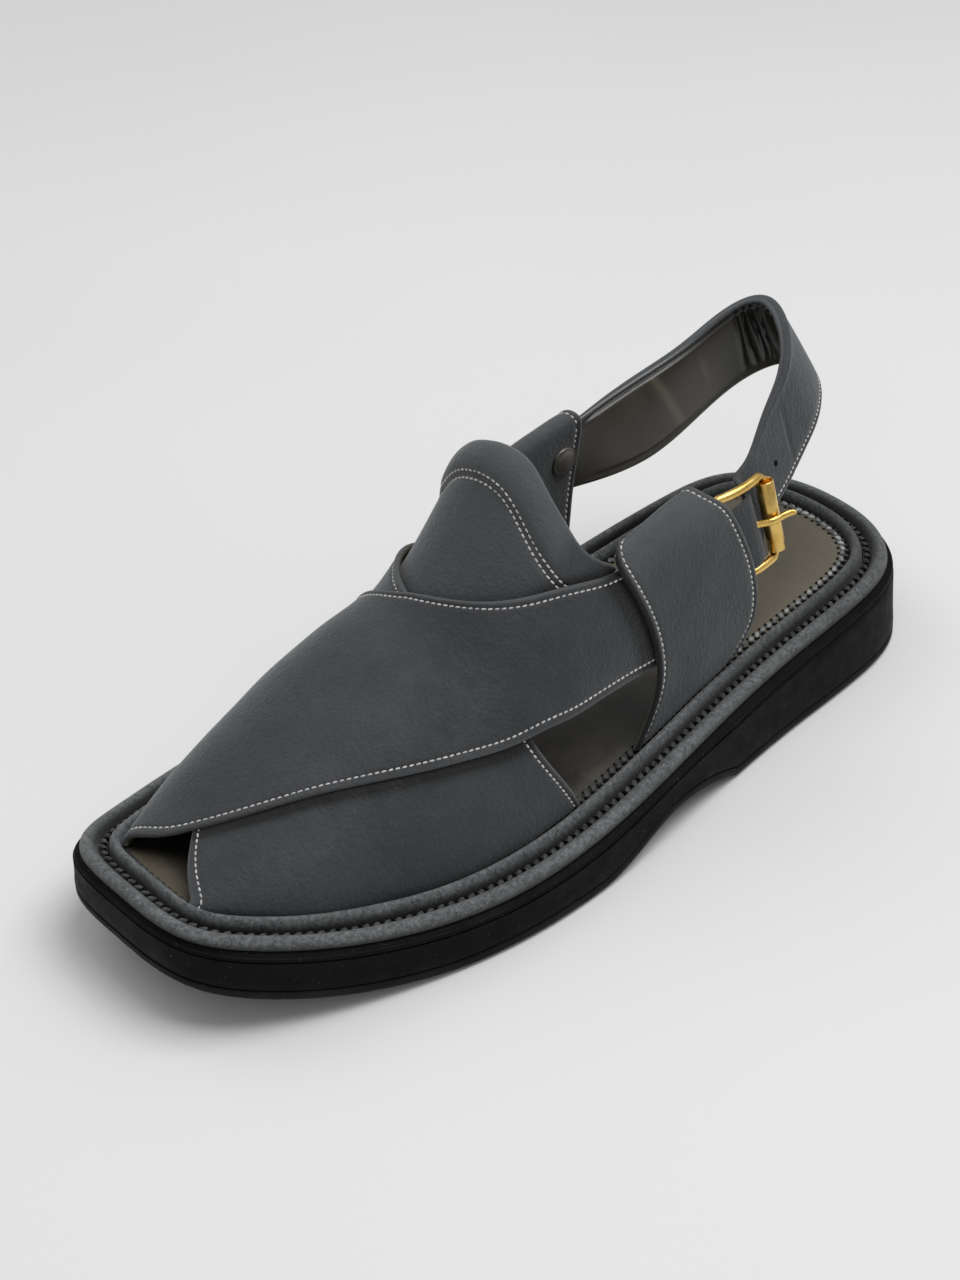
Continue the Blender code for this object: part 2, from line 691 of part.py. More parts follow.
def strap_surface(steps=4, across_count=4):
    """Surface of the strap, its direction away from the foot and its thickness."""
    upper, lower, thick = strap_controls()
    middle = (upper + lower) / 2
    walk = np.concatenate([[0], np.cumsum(np.linalg.norm(np.diff(middle, axis=0), axis=1))])
    fine = [np.linspace(a, b, steps, endpoint=False) for a, b in zip(walk, walk[1:])]
    fine = np.concatenate(fine + [walk[-1:]])
    edges = [np.stack([spline(walk, edge[:, i])(fine) for i in range(3)], -1) for edge in (upper, lower)]
    share = np.linspace(0, 1, across_count)[None, :, None]
    surface = edges[0][:, None, :] * (1 - share) + edges[1][:, None, :] * share
    run = np.gradient(surface, axis=0)
    side = (edges[1] - edges[0])[:, None, :] + 0 * surface
    normal = np.cross(run, side)
    normal = normal / np.linalg.norm(normal, axis=-1, keepdims=True)
    return surface, normal, np.interp(fine, walk, thick)[:, None, None]


def make_strap(home, tools, finish):
    """Padded strap round the heel, its free end thin and pierced by the prong."""
    surface, normal, thick = strap_surface()
    sink = HALF + PADDING_IN * ease((thick - TAIL_THICK) / TAIL_THICK)
    made = slab("heel_strap", surface - normal * thick * sink, surface + normal * thick * (1 - sink),
                home, finish)
    hole = as_mesh(wire("prong_hole", prong_path(), PRONG_RADIUS + GAP, False, tools, None))
    return combine(made, hole, "DIFFERENCE")


# Buckle
def buckle_frame():
    """Middle of the wire frame and its three directions: along the bar, back and out."""
    top = form(BAR_TOP, (BAR_ALONG - BAR_LEAN) * SOLE_LENGTH, BAR_LIFT)
    low = form(BAR_LOW, (BAR_ALONG + BAR_LEAN) * SOLE_LENGTH, BAR_LIFT + BAR_SPLAY)
    down = (low - top) / np.linalg.norm(low - top)
    back = np.array(BUCKLE_DIRECTION) - np.dot(BUCKLE_DIRECTION, down) * down
    back = back / np.linalg.norm(back)
    out = np.cross(back, down)
    out = out if out[0] > 0 else -out
    return (top + low) / 2 + back * BUCKLE_REACH / 2, down, back, out


def as_mesh(curve_object):
    """Turns a wire into a mesh, so that it can cut or be cut."""
    graph = bpy.context.evaluated_depsgraph_get()
    mesh = bpy.data.meshes.new_from_object(curve_object.evaluated_get(graph))
    name = curve_object.name
    home = curve_object.users_collection[0]
    matrix = curve_object.matrix_world.copy()
    bpy.data.objects.remove(curve_object, do_unlink=True)
    shape = bmesh.new()
    shape.from_mesh(mesh)
    bmesh.ops.remove_doubles(shape, verts=shape.verts, dist=0.00001)
    bmesh.ops.recalc_face_normals(shape, faces=shape.faces)
    shape.to_mesh(mesh)
    shape.free()
    made = bpy.data.objects.new(name, mesh)
    made.matrix_world = matrix
    home.objects.link(made)
    return made


def make_buckle_frame(home, finish):
    """Wire loop with rounded corners; its bar is held inside the lateral band."""
    middle, down, back, out = buckle_frame()
    points = []
    for quarter in range(4):
        sign_down, sign_back = ((1, 1), (-1, 1), (-1, -1), (1, -1))[quarter]
        corner_down = sign_down * (BUCKLE_WIDTH / 2 - BUCKLE_CORNER)
        corner_back = sign_back * (BUCKLE_REACH / 2 - BUCKLE_CORNER)
        for step in range(5):
            angle = math.pi / 2 * (quarter + step / 4)
            points.append(middle + down * (corner_down + BUCKLE_CORNER * math.cos(angle))
                          + back * (corner_back + BUCKLE_CORNER * math.sin(angle)))
    return as_mesh(wire("buckle_frame", points, WIRE_RADIUS, True, home, finish))


def make_roller(home, finish):
    """Rolled sheet tube that turns on the frame's rear bar, open at both ends."""
    middle, down, back, out = buckle_frame()
    play = ROLLER_RADIUS - ROLLER_WALL - WIRE_RADIUS - GAP
    centre = middle + back * BUCKLE_REACH / 2 + out * play
    sides = [i * math.tau / 20 for i in range(20)]
    rings = []
    for radius, place in ((ROLLER_RADIUS, -0.5), (ROLLER_RADIUS, 0.5),
                          (ROLLER_RADIUS - ROLLER_WALL, 0.5), (ROLLER_RADIUS - ROLLER_WALL, -0.5)):
        rings.append(np.array([centre + down * ROLLER_LENGTH * place
                               + (back * math.cos(a) + out * math.sin(a)) * radius for a in sides]))
    return hoop("buckle_roller", rings, home, finish)


def prong_path():
    """From behind the bar, through the strap and over the roller, its tip bent out."""
    middle, down, back, out = buckle_frame()
    over = 2 * ROLLER_RADIUS - ROLLER_WALL - WIRE_RADIUS + PRONG_RADIUS
    rows = (
        # share of the reach behind the bar, share of the height over the roller
        ((WIRE_RADIUS + GAP) / BUCKLE_REACH, 0.00),
        (0.30, 0.00),
        (0.55, 0.10),
        (0.72, 0.45),
        (0.86, 0.90),
        (1.00, 1.00),
        (1.11, 1.02),
        (1.20, 1.15),
        (1.25, 1.38),
    )
    walk = np.linspace(0, 1, len(rows))
    fine = np.linspace(0, 1, 17)
    reach = spline(walk, [row[0] for row in rows])(fine)
    rise = spline(walk, [row[1] for row in rows])(fine)
    start = middle - back * BUCKLE_REACH / 2
    return [start + back * r * BUCKLE_REACH + out * h * over for r, h in zip(reach, rise)]


def make_prong(home, finish):
    return as_mesh(wire("buckle_prong", prong_path(), PRONG_RADIUS, False, home, finish))


def make_rivet(home, finish):
    """Low domed cap on the inner face of the medial band."""
    base = form(1 - RIVET_TURN, RIVET_ALONG * SOLE_LENGTH, RIVET_LIFT)
    tip = form(1 - RIVET_TURN, RIVET_ALONG * SOLE_LENGTH, RIVET_LIFT - RIVET_HEIGHT)
    axis = (tip - base) / np.linalg.norm(tip - base)
    side = np.cross(axis, (0, 0, 1))
    side = side / np.linalg.norm(side)
    up = np.cross(side, axis)
    rings = []
    for share, height in ((1.0, 0.0), (1.0, 0.35), (0.85, 0.75), (0.5, 1.0)):
        rings.append(np.array([base + axis * height * RIVET_HEIGHT
                               + (side * math.cos(a) + up * math.sin(a)) * share * RIVET_RADIUS
                               for a in np.arange(20) * math.tau / 20]))
    return stacked("rivet", rings, home, finish)


def build():
    clear_scene()
    home = collection("peshawari_chappal_left")
    tools = collection("cutters")
    leather = material("leather_slate", (0.052, 0.060, 0.066), 0.62)
    lining = material("lining_taupe", (0.105, 0.094, 0.078), 0.45)
    rubber = material("sole_black", (0.008, 0.008, 0.009), 0.55)
    rolled = material("rolled_leather", (0.085, 0.092, 0.097), 0.60)
    brass = material("brass", (0.72, 0.50, 0.16), 0.25, 1.0)
    gunmetal = material("gunmetal", (0.06, 0.055, 0.05), 0.40, 1.0)

    make_outsole(home, rubber)
    make_midsole(home, rubber)
    make_welt(home, rolled)
    make_rand(home, rolled)
    make_insole(home, lining)

    vamp = make_band("vamp", OVER_BAND, over_lift, home, leather)
    under = make_band("under_band", UNDER_BAND, lambda turn, along: 0 * turn, tools, leather)
    combine(vamp, under, "UNION")
    make_tongue(home, leather)
    make_sleeve("side_band_lateral", False, home, leather)
    make_sleeve("side_band_medial", True, home, leather)
    make_strap(home, tools, leather)
    make_buckle_frame(home, brass)
    make_roller(home, brass)
    make_prong(home, brass)
    make_rivet(home, gunmetal)


build()
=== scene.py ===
"""Visual model of the left peshawari chappal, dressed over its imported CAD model.

Units are metres in the row's frame: +Z up, toe to -Y, outer side to +X, floor at z = 0.
"""
import math

import bmesh
import bpy
import numpy as np
from mathutils import Matrix, Vector


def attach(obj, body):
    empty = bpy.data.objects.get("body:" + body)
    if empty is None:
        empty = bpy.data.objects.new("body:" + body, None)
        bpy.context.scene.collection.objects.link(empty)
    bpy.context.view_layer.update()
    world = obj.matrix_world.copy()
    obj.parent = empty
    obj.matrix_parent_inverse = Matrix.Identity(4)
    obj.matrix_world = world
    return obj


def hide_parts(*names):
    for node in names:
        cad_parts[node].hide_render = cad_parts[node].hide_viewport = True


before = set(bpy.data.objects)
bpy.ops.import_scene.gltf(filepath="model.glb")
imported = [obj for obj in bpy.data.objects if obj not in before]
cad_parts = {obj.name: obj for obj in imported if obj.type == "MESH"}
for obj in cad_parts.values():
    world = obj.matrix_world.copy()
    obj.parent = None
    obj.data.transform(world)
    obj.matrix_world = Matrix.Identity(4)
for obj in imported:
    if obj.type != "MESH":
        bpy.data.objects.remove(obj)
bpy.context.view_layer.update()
rng = np.random.default_rng(11)
visual = bpy.data.collections.new("visual")
bpy.context.scene.collection.children.link(visual)

# Driving sizes of the sole, measured at the edge of the welt
SOLE_LENGTH = 0.298
TOE_WIDTH = 0.058
BALL_WIDTH = 0.121
WAIST_WIDTH = 0.102
HEEL_WIDTH = 0.092
TOE_SPRING = 0.0155
ARCH_RISE = 0.0078
TOE_THICK = 0.0155
BALL_THICK = 0.0168
HEEL_THICK = 0.0288
OUTSOLE_THICK = 0.0038
SOLE_FLARE = 0.0030

# Welt, rand and insole on top of the sole
BEAD_WIDTH = 0.0052
BEAD_HEIGHT = 0.0042
CHANNEL_WIDTH = 0.0028
CHANNEL_HEIGHT = 0.0016
RAND_WIDTH = 0.0040
RAND_HEIGHT = 0.0058
INSOLE_THICK = 0.0030

# Upper: BITE is how deep the over band presses into the under band
LEATHER = 0.0020
BITE = 0.0005
INSTEP_HEIGHT = 0.118
INSTEP_OFFSET = 0.010
MEDIAL_SPLAY = 0.0045
MEDIAL_FULLNESS = 0.20
TONGUE_THICK = 0.0028
TONGUE_PAD = 0.0030
SLEEVE_LEATHER = 0.0018
SLEEVE_DEPTH = 0.0088

# Heel strap
STRAP_SPAN = 0.066
STRAP_MIDDLE = -0.0066
STRAP_REACH = 0.127
STRAP_HEIGHT = 0.112
STRAP_WIDTH = 0.028
STRAP_THICK = 0.0038
TAIL_THICK = 0.0014

# Buckle and rivet
WIRE_RADIUS = 0.00125
PRONG_RADIUS = 0.0010
BUCKLE_WIDTH = 0.0286
BUCKLE_CORNER = 0.0030
ROLLER_LENGTH = 0.0244
ROLLER_RADIUS = 0.0029
ROLLER_WALL = 0.0006
BUCKLE_REACH = 0.0213
RIVET_RADIUS = 0.0037
RIVET_HEIGHT = 0.0011

# Fits
GAP = 0.0003
FOOT_CLEARANCE = 0.0006

# Sole outline from toe to heel: share of the length, the width that the row follows, and
# the lateral and medial shares of it, from the line through the middle of the ball
OUTLINE = (
    # along, width, lateral, medial
    (-0.488, TOE_WIDTH, 0.482, 0.555),
    (-0.437, BALL_WIDTH, 0.330, 0.347),
    (-0.320, BALL_WIDTH, 0.439, 0.454),
    (-0.187, BALL_WIDTH, 0.500, 0.500),
    (-0.038, BALL_WIDTH, 0.483, 0.464),
    (0.114, WAIST_WIDTH, 0.493, 0.510),
    (0.247, HEEL_WIDTH, 0.476, 0.554),
    (0.362, HEEL_WIDTH, 0.431, 0.554),
    (0.452, HEEL_WIDTH, 0.328, 0.484),
    (0.491, HEEL_WIDTH, 0.137, 0.293),
)
TOE_MIDDLE = -0.06
TOE_BULGE = 1.012
HEEL_MIDDLE = -0.07

# Top of the sole block: share of the length, the thickness that the row follows, its share
SOLE_TOP = (
    # along, height, share
    (-0.503, TOE_SPRING + TOE_THICK, 1.020),
    (-0.302, BALL_THICK, 1.040),
    (-0.100, BALL_THICK, 0.980),
    (0.100, HEEL_THICK, 0.757),
    (0.302, HEEL_THICK, 0.917),
    (0.503, HEEL_THICK, 1.014),
)
SPRING_START = -0.240
SPRING_POWER = 1.7
ARCH_START = -0.084
ARCH_CREST = 0.040
HEEL_BREAST = 0.145

# Foot form: height of its crest, sideways place of the crest, fullness of the section
# (2 is an ellipse, less is peaked) and how far the medial side leans out
FORM = (
    # along, crest, offset, fullness, splay
    (-0.465, 0.284, 0.30, 2.10, 0.00),
    (-0.420, 0.330, 0.35, 2.10, 0.00),
    (-0.270, 0.482, 0.70, 2.10, 0.00),
    (-0.168, 0.575, 1.00, 2.00, 0.00),
    (-0.117, 0.625, 1.00, 1.95, 0.00),
    (-0.070, 0.746, 1.00, 1.85, 0.10),
    (-0.024, 0.902, 1.00, 1.78, 0.30),
    (0.010, 0.992, 1.00, 1.75, 0.45),
    (0.080, 1.085, 0.90, 1.75, 0.70),
    (0.200, 1.119, 0.70, 1.75, 1.00),
)

# Both bands of the vamp, each a row for every rung between its upper and lower edge.
# turn runs over the foot form from the lateral sole edge (0) to the medial one (1).
# The under band's front edge tucks in beside the rand, past the place UNDER_FRONT.
OVER_BAND = (
    # upper turn, upper along, lower turn, lower along
    (0.192, 0.085, 0.066, 0.085),
    (0.203, 0.045, 0.076, 0.045),
    (0.235, 0.003, 0.099, -0.015),
    (0.300, -0.045, 0.129, -0.060),
    (0.395, -0.085, 0.173, -0.115),
    (0.510, -0.110, 0.234, -0.215),
    (0.610, -0.117, 0.335, -0.320),
    (0.720, -0.114, 0.485, -0.413),
    (0.860, -0.100, 0.715, -0.447),
    (1.000, -0.066, 1.000, -0.456),
)
UNDER_BAND = (
    # upper turn, upper along, lower turn, lower along
    (0.826, 0.085, 0.912, 0.085),
    (0.824, 0.040, 0.908, 0.045),
    (0.822, -0.008, 0.888, -0.020),
    (0.735, -0.056, 0.862, -0.075),
    (0.625, -0.092, 0.820, -0.130),
    (0.510, -0.111, 0.750, -0.225),
    (0.390, -0.118, 0.650, -0.325),
    (0.280, -0.115, 0.492, -0.416),
    (0.150, -0.102, 0.320, -0.451),
    (0.070, -0.085, 0.165, -0.461),
    (0.000, -0.064, 0.000, -0.468),
)
UNDER_FRONT = -0.4485

# Tongue: its hidden front edge and its free rim for each turn over the foot form, the
# place along the foot where its padding starts, and the line of its double seam
TONGUE = (
    # turn, front, rim
    (0.200, -0.030, 0.054),
    (0.240, -0.075, 0.030),
    (0.300, -0.120, 0.0165),
    (0.360, -0.150, 0.0135),
    (0.420, -0.170, 0.0135),
    (0.500, -0.180, 0.0055),
    (0.580, -0.170, 0.006),
    (0.650, -0.150, 0.011),
    (0.720, -0.120, 0.018),
    (0.780, -0.070, 0.029),
    (0.800, -0.030, 0.040),
)
TONGUE_STITCH = -0.022
TONGUE_SEAM = (
    # turn, along
    (0.200, 0.012),
    (0.240, -0.0095),
    (0.270, -0.0178),
    (0.310, -0.0228),
    (0.360, -0.0232),
    (0.430, -0.0198),
    (0.500, -0.0226),
    (0.600, -0.0222),
    (0.700, -0.0180),
    (0.760, -0.0080),
    (0.800, 0.0040),
)

# Buckle: where its bar lies in the lateral band, and the way it points from there
BAR_TOP = 0.192
BAR_LOW = 0.094
BAR_ALONG = 0.189
BAR_LEAN = 0.003
BAR_SHARE = 0.92
BAR_SPLAY = -0.0002
BUCKLE_DIRECTION = (0.06, 1.0, -0.06)

# Rivet: its place on the inner face of the medial band
RIVET_TURN = 0.157
RIVET_ALONG = 0.169
RIVET_LIFT = -0.0011

# Side band: a folded sleeve. Each row is a line from its front to its rear edge, from the
# outer foot over the top fold and down inside; out is the share of SLEEVE_DEPTH that it
# stands off the form. The medial band is lower, and its inner wall reaches further down
SLEEVE = (
    # turn, front, rear, front out, rear out, medial rear, medial rear out
    (0.000, 0.028, 0.196, 0.225, 0.225, 0.172, 0.225),
    (0.030, 0.050, 0.208, 0.38, 0.68, 0.176, 0.50),
    (0.060, 0.064, 0.214, 0.50, 1.00, 0.180, 0.80),
    (0.100, 0.066, 0.2135, 0.54, 1.12, 0.184, 1.00),
    (0.150, 0.057, 0.2030, 0.54, 1.12, 0.188, 1.00),
    (0.190, 0.047, 0.1895, 0.54, 1.04, 0.190, 0.96),
    (0.216, 0.043, 0.171, 0.50, 0.80, 0.189, 0.84),
    (0.228, 0.050, 0.164, 0.30, 0.45, 0.192, 0.50),
    (0.224, 0.062, 0.164, 0.00, 0.05, 0.196, 0.12),
    (0.205, 0.068, 0.172, -0.24, -0.24, 0.196, -0.06),
    (0.150, 0.076, 0.186, -0.29, -0.29, 0.193, 0.00),
    (0.090, 0.084, 0.190, -0.29, -0.29, 0.186, 0.03),
)
MEDIAL_LEAF_END = (0.045, 0.090, 0.188, -0.29, -0.29, 0.178, 0.03)
MEDIAL_TOP = 0.91

# Heel strap: a row for each station from the medial side round the heel to the buckle.
# across, along and height place its upper edge, lean x and lean y splay its lower edge
STRAP = (
    # across, along, height, width, lean x, lean y, thick
    (-0.520, 0.410, 0.742, 0.80, -0.03, 0.10, 0.36),
    (-0.545, 0.650, 0.795, 0.98, 0.30, 0.10, 1.0),
    (-0.490, 0.850, 0.862, 0.96, 0.16, 0.12, 1.0),
    (-0.392, 0.968, 0.952, 1.00, 0.10, 0.21, 1.0),
    (-0.240, 1.003, 1.000, 1.00, 0.14, 0.33, 1.0),
    (-0.030, 0.960, 0.988, 0.97, 0.19, 0.42, 1.0),
    (0.180, 0.855, 0.934, 0.89, 0.19, 0.48, 0.9),
    (0.326, 0.700, 0.854, 0.85, 0.19, 0.48, 0.6),
)

# Free end of the strap in the buckle's own directions: past the roller, over the bar,
# round it and back in. back and skew are shares of BUCKLE_REACH, out of the run's distance
# from the bar's middle, upper and lower of STRAP_WIDTH, thick of TAIL_THICK
STRAP_END = (
    # back, out, upper, lower, skew, thick
    (1.120, -2.80, 0.585, 0.130, 0.20, 1.5),
    (0.810, -1.70, 0.540, 0.250, 0.16, 1.1),
    (0.720, -0.30, 0.460, 0.370, 0.07, 1.0),
    (0.640, 0.80, 0.410, 0.440, 0.02, 1.0),
    (0.500, 1.06, 0.380, 0.480, 0.00, 1.0),
    (0.320, 1.00, 0.350, 0.450, 0.00, 1.0),
    (0.140, 0.96, 0.330, 0.380, 0.00, 1.0),
    (0.020, 1.00, 0.340, 0.340, 0.00, 1.0),
    (-0.072, 0.70, 0.340, 0.340, 0.00, 1.0),
    (-0.101, 0.00, 0.340, 0.340, 0.00, 1.0),
    (-0.072, -0.70, 0.340, 0.340, 0.00, 1.0),
    (0.000, -1.02, 0.340, 0.340, 0.00, 1.0),
    (0.120, -1.70, 0.330, 0.330, 0.00, 1.0),
    (0.300, -3.20, 0.300, 0.300, 0.00, 1.0),
    (0.780, -8.60, 0.030, 0.030, 0.00, 1.0),
)


def spline(places, values):
    """A smooth curve (natural cubic) through the rows of a table, as a function."""
    xs = np.asarray(places, float)
    ys = np.asarray(values, float)
    last = len(xs) - 1
    step = np.diff(xs)
    slope = np.diff(ys) / step
    matrix = np.eye(last + 1)
    for i in range(1, last):
        matrix[i, i - 1:i + 2] = step[i - 1], 2 * (step[i - 1] + step[i]), step[i]
    bend = np.linalg.solve(matrix, np.concatenate([[0], 6 * np.diff(slope), [0]]))

    def at(x):
        x = np.asarray(x, float)
        i = np.clip(np.searchsorted(xs, x) - 1, 0, last - 1)
        left = np.clip(x, xs[0], xs[-1]) - xs[i]
        gone = step[i] - left
        value = (bend[i] * gone ** 3 + bend[i + 1] * left ** 3) / (6 * step[i])
        value = value + (ys[i] / step[i] - bend[i] * step[i] / 6) * gone
        value = value + (ys[i + 1] / step[i] - bend[i + 1] * step[i] / 6) * left
        low = slope[0] - bend[1] * step[0] / 6
        high = slope[-1] + bend[-2] * step[-1] / 6
        return value + np.minimum(x - xs[0], 0) * low + np.maximum(x - xs[-1], 0) * high

    return at


def column(table, place, value, scale_place=1.0, scale_value=1.0):
    """A smooth function of one column of a table by another."""
    return spline([row[place] * scale_place for row in table],
                  [row[value] * scale_value for row in table])


def curves(table, columns, walk):
    """Smooth columns of a table at places from 0, its first row, to 1, its last."""
    rows = np.linspace(0, 1, len(table))
    return [spline(rows, [row[i] for row in table])(walk) for i in columns]


def ease(share):
    """A soft step from 0 to 1."""
    share = np.clip(share, 0, 1)
    return share * share * (3 - 2 * share)


def bell(x, middle, width):
    """1 at the middle, falling softly to 0 on both sides."""
    return np.exp(-((x - middle) / width) ** 2)


def unit(v):
    """Vectors brought to length 1."""
    return v / np.maximum(np.linalg.norm(v, axis=-1, keepdims=True), 1e-12)


def walked(path):
    """Distance gone at each point of a path."""
    return np.concatenate([[0], np.cumsum(np.linalg.norm(np.diff(path, axis=0), axis=1))])


def nearest(points, line):
    """Distance of each point from the closest point of a line."""
    parts = np.array_split(points.reshape(-1, points.shape[-1]), 40)
    away = [np.linalg.norm(part[:, None] - line[None], axis=2).min(axis=1) for part in parts]
    return np.concatenate(away).reshape(points.shape[:-1])


# The two long sides of the outline, as x for each y, and the height of the sole's top
lateral_line = spline([row[0] * SOLE_LENGTH for row in OUTLINE], [row[1] * row[2] for row in OUTLINE])
medial_line = spline([row[0] * SOLE_LENGTH for row in OUTLINE], [-row[1] * row[3] for row in OUTLINE])
sole_top = spline([row[0] * SOLE_LENGTH for row in SOLE_TOP], [row[1] * row[2] for row in SOLE_TOP])


def sole_under(y):
    """Height of the underside: flat at the ball and heel, toe spring and a short arch."""
    share = np.asarray(y, float) / SOLE_LENGTH
    toe = np.clip((SPRING_START - share) / (SPRING_START + 0.5), 0, None)
    rise = np.clip((share - ARCH_START) / (ARCH_CREST - ARCH_START), 0, 1)
    fall = np.clip((share - ARCH_CREST) / (HEEL_BREAST - ARCH_CREST), 0, 1)
    return TOE_SPRING * toe ** SPRING_POWER + ARCH_RISE * ease(rise) * (1 - fall ** 2)


def outline_ring(inset, count):
    """The outline moved inwards, as count points from the toe's middle round the
    lateral side to the heel's middle and back along the medial side."""
    points = [(TOE_MIDDLE * TOE_WIDTH, -SOLE_LENGTH / 2 * TOE_BULGE)]
    points += [(row[1] * row[2], row[0] * SOLE_LENGTH) for row in OUTLINE]
    points += [(HEEL_MIDDLE * HEEL_WIDTH, SOLE_LENGTH / 2)]
    points += [(-row[1] * row[3], row[0] * SOLE_LENGTH) for row in reversed(OUTLINE)]
    points = np.array(points)
    half = len(OUTLINE) + 1
    around = np.concatenate([points, points, points, points[:1]])
    walk = walked(around)
    x_at = spline(walk, around[:, 0])
    y_at = spline(walk, around[:, 1])
    start = len(points)
    halves = []
    for first, last in ((start, start + half), (start + half, 2 * start)):
        fine = np.linspace(walk[first], walk[last], 40 * len(OUTLINE))
        length = walked(np.stack([x_at(fine), y_at(fine)], -1))
        even = np.linspace(0, length[-1], count // 2 + 1)[:-1]
        halves.append(np.interp(even, length, fine))
    place = np.concatenate(halves)
    nudge = 0.0005
    dx = x_at(place + nudge) - x_at(place - nudge)
    dy = y_at(place + nudge) - y_at(place - nudge)
    size = np.hypot(dx, dy)
    return np.stack([x_at(place) - inset * dy / size, y_at(place) + inset * dx / size], -1)


# The strap's run beside the bar, and how far the bar lifts off the form to leave it room
RUN_OUT = WIRE_RADIUS + GAP + TAIL_THICK / 2
BAR_LIFT = BAR_SHARE * SLEEVE_DEPTH - SLEEVE_LEATHER - GAP - TAIL_THICK / 2 - RUN_OUT

RAND_OUTER = BEAD_WIDTH + CHANNEL_WIDTH + GAP
RAND_INNER = RAND_OUTER + RAND_WIDTH
FOOT_INSET = RAND_INNER + 2 * GAP + LEATHER

crest_height = column(FORM, 0, 1, SOLE_LENGTH, INSTEP_HEIGHT)
crest_offset = column(FORM, 0, 2, SOLE_LENGTH, -INSTEP_OFFSET)
fullness = column(FORM, 0, 3, SOLE_LENGTH)
splay = column(FORM, 0, 4, SOLE_LENGTH, MEDIAL_SPLAY)


def seat(y):
    """Height at which the upper stands on the insole's edge."""
    return sole_top(y) + GAP + INSOLE_THICK + FOOT_CLEARANCE


def foot_line(line, y, inset):
    """One long side of the outline moved inwards by an inset."""
    nudge = 0.0001
    slope = (line(y + nudge) - line(y - nudge)) / (2 * nudge)
    side = 1 if line is lateral_line else -1
    return line(y) - side * inset * np.sqrt(1 + slope ** 2)


def section(turn, y):
    """A point of the foot form: turn 0 is the lateral foot, 0.5 the crest, 1 the medial."""
    turn, y = np.broadcast_arrays(np.asarray(turn, float), np.asarray(y, float))
    across = np.cos(turn * math.pi)
    up = np.sin(turn * math.pi)
    power = fullness(y) + np.where(across < 0, MEDIAL_FULLNESS, 0)
    size = (np.abs(across) ** power + np.abs(up) ** power) ** (-1 / power)
    middle = crest_offset(y)
    lateral = foot_line(lateral_line, y, FOOT_INSET) - middle
    medial = middle - foot_line(medial_line, y, FOOT_INSET)
    x = middle + np.where(across > 0, lateral, medial) * size * across
    x = x - np.where(across < 0, splay(y) * 2 * up * np.abs(across), 0)
    return np.stack([x, y, seat(y) + (crest_height(y) - seat(y)) * size * up], -1)


def form(turn, y, lift):
    """A point of the foot form moved out along its normal."""
    turn, y, lift = np.broadcast_arrays(*(np.asarray(v, float) for v in (turn, y, lift)))
    by_turn = section(turn + 0.002, y) - section(turn - 0.002, y)
    by_along = section(turn, y + 0.0005) - section(turn, y - 0.0005)
    return section(turn, y) + unit(np.cross(by_along, by_turn)) * lift[..., None]


def bead_profile(outer, width, base, height, steps):
    """Half-round roll as (inset, height) pairs, from its outer foot over to its inner."""
    angles = [math.pi * i / steps for i in range(steps + 1)]
    return [(outer + width * (1 - math.cos(a)) / 2, base + (height - base) * math.sin(a))
            for a in angles]


def over_lift(turn, along):
    """The over band lies on the under band and comes down to the form beyond it."""
    along_edge = [-row[3] for row in UNDER_BAND[:8]] + [-UNDER_FRONT]
    medial_edge = spline(along_edge, [row[2] for row in UNDER_BAND[:9]])
    reach = np.clip(medial_edge(-along), 0.5, 0.95)
    down_medial = ease((1 - turn) / (1 - reach))
    down_lateral = ease((-0.01 - along) / 0.07)
    return (LEATHER - BITE) * down_medial * down_lateral


def strap_controls():
    """Upper edge, lower edge and thickness of the strap at each of its stations."""
    upper, lower, thick = [], [], []
    for across, along, height, width, lean_x, lean_y, share in STRAP:
        edge = np.array([across * STRAP_SPAN + STRAP_MIDDLE, along * STRAP_REACH, height * STRAP_HEIGHT])
        drop = math.sqrt(1 - lean_x ** 2 - lean_y ** 2)
        upper.append(edge)
        lower.append(edge + np.array([lean_x, lean_y, -drop]) * width * STRAP_WIDTH)
        thick.append(share * STRAP_THICK)
    middle, down, back, out = buckle_frame()
    bar = middle - back * BUCKLE_REACH / 2
    for back_share, out_share, up, low, skew, share in STRAP_END:
        place = bar + back * back_share * BUCKLE_REACH + out * out_share * RUN_OUT
        lean = back * skew * BUCKLE_REACH
        upper.append(place - lean - down * up * STRAP_WIDTH)
        lower.append(place + lean + down * low * STRAP_WIDTH)
        thick.append(share * TAIL_THICK)
    return np.array(upper), np.array(lower), np.array(thick)


def strap_stations(steps):
    """The strap's upper and lower edge, its direction away from the foot and its thickness."""
    upper, lower, thick = strap_controls()
    walk = walked((upper + lower) / 2)
    fine = [np.linspace(a, b, steps, endpoint=False) for a, b in zip(walk, walk[1:])]
    fine = np.concatenate(fine + [walk[-1:]])
    upper, lower = (np.stack([spline(walk, edge[:, i])(fine) for i in range(3)], -1)
                    for edge in (upper, lower))
    normal = unit(sum(unit(np.cross(np.gradient(edge, axis=0), lower - upper)) for edge in (upper, lower)))
    return upper, lower, normal, np.interp(fine, walk, thick)


def buckle_frame():
    """Middle of the wire frame and its three directions: along the bar, back and out."""
    top = form(BAR_TOP, (BAR_ALONG - BAR_LEAN) * SOLE_LENGTH, BAR_LIFT)
    low = form(BAR_LOW, (BAR_ALONG + BAR_LEAN) * SOLE_LENGTH, BAR_LIFT + BAR_SPLAY)
    down = unit(low - top)
    back = unit(np.array(BUCKLE_DIRECTION) - np.dot(BUCKLE_DIRECTION, down) * down)
    out = np.cross(back, down)
    out = out if out[0] > 0 else -out
    return (top + low) / 2 + back * BUCKLE_REACH / 2, down, back, out


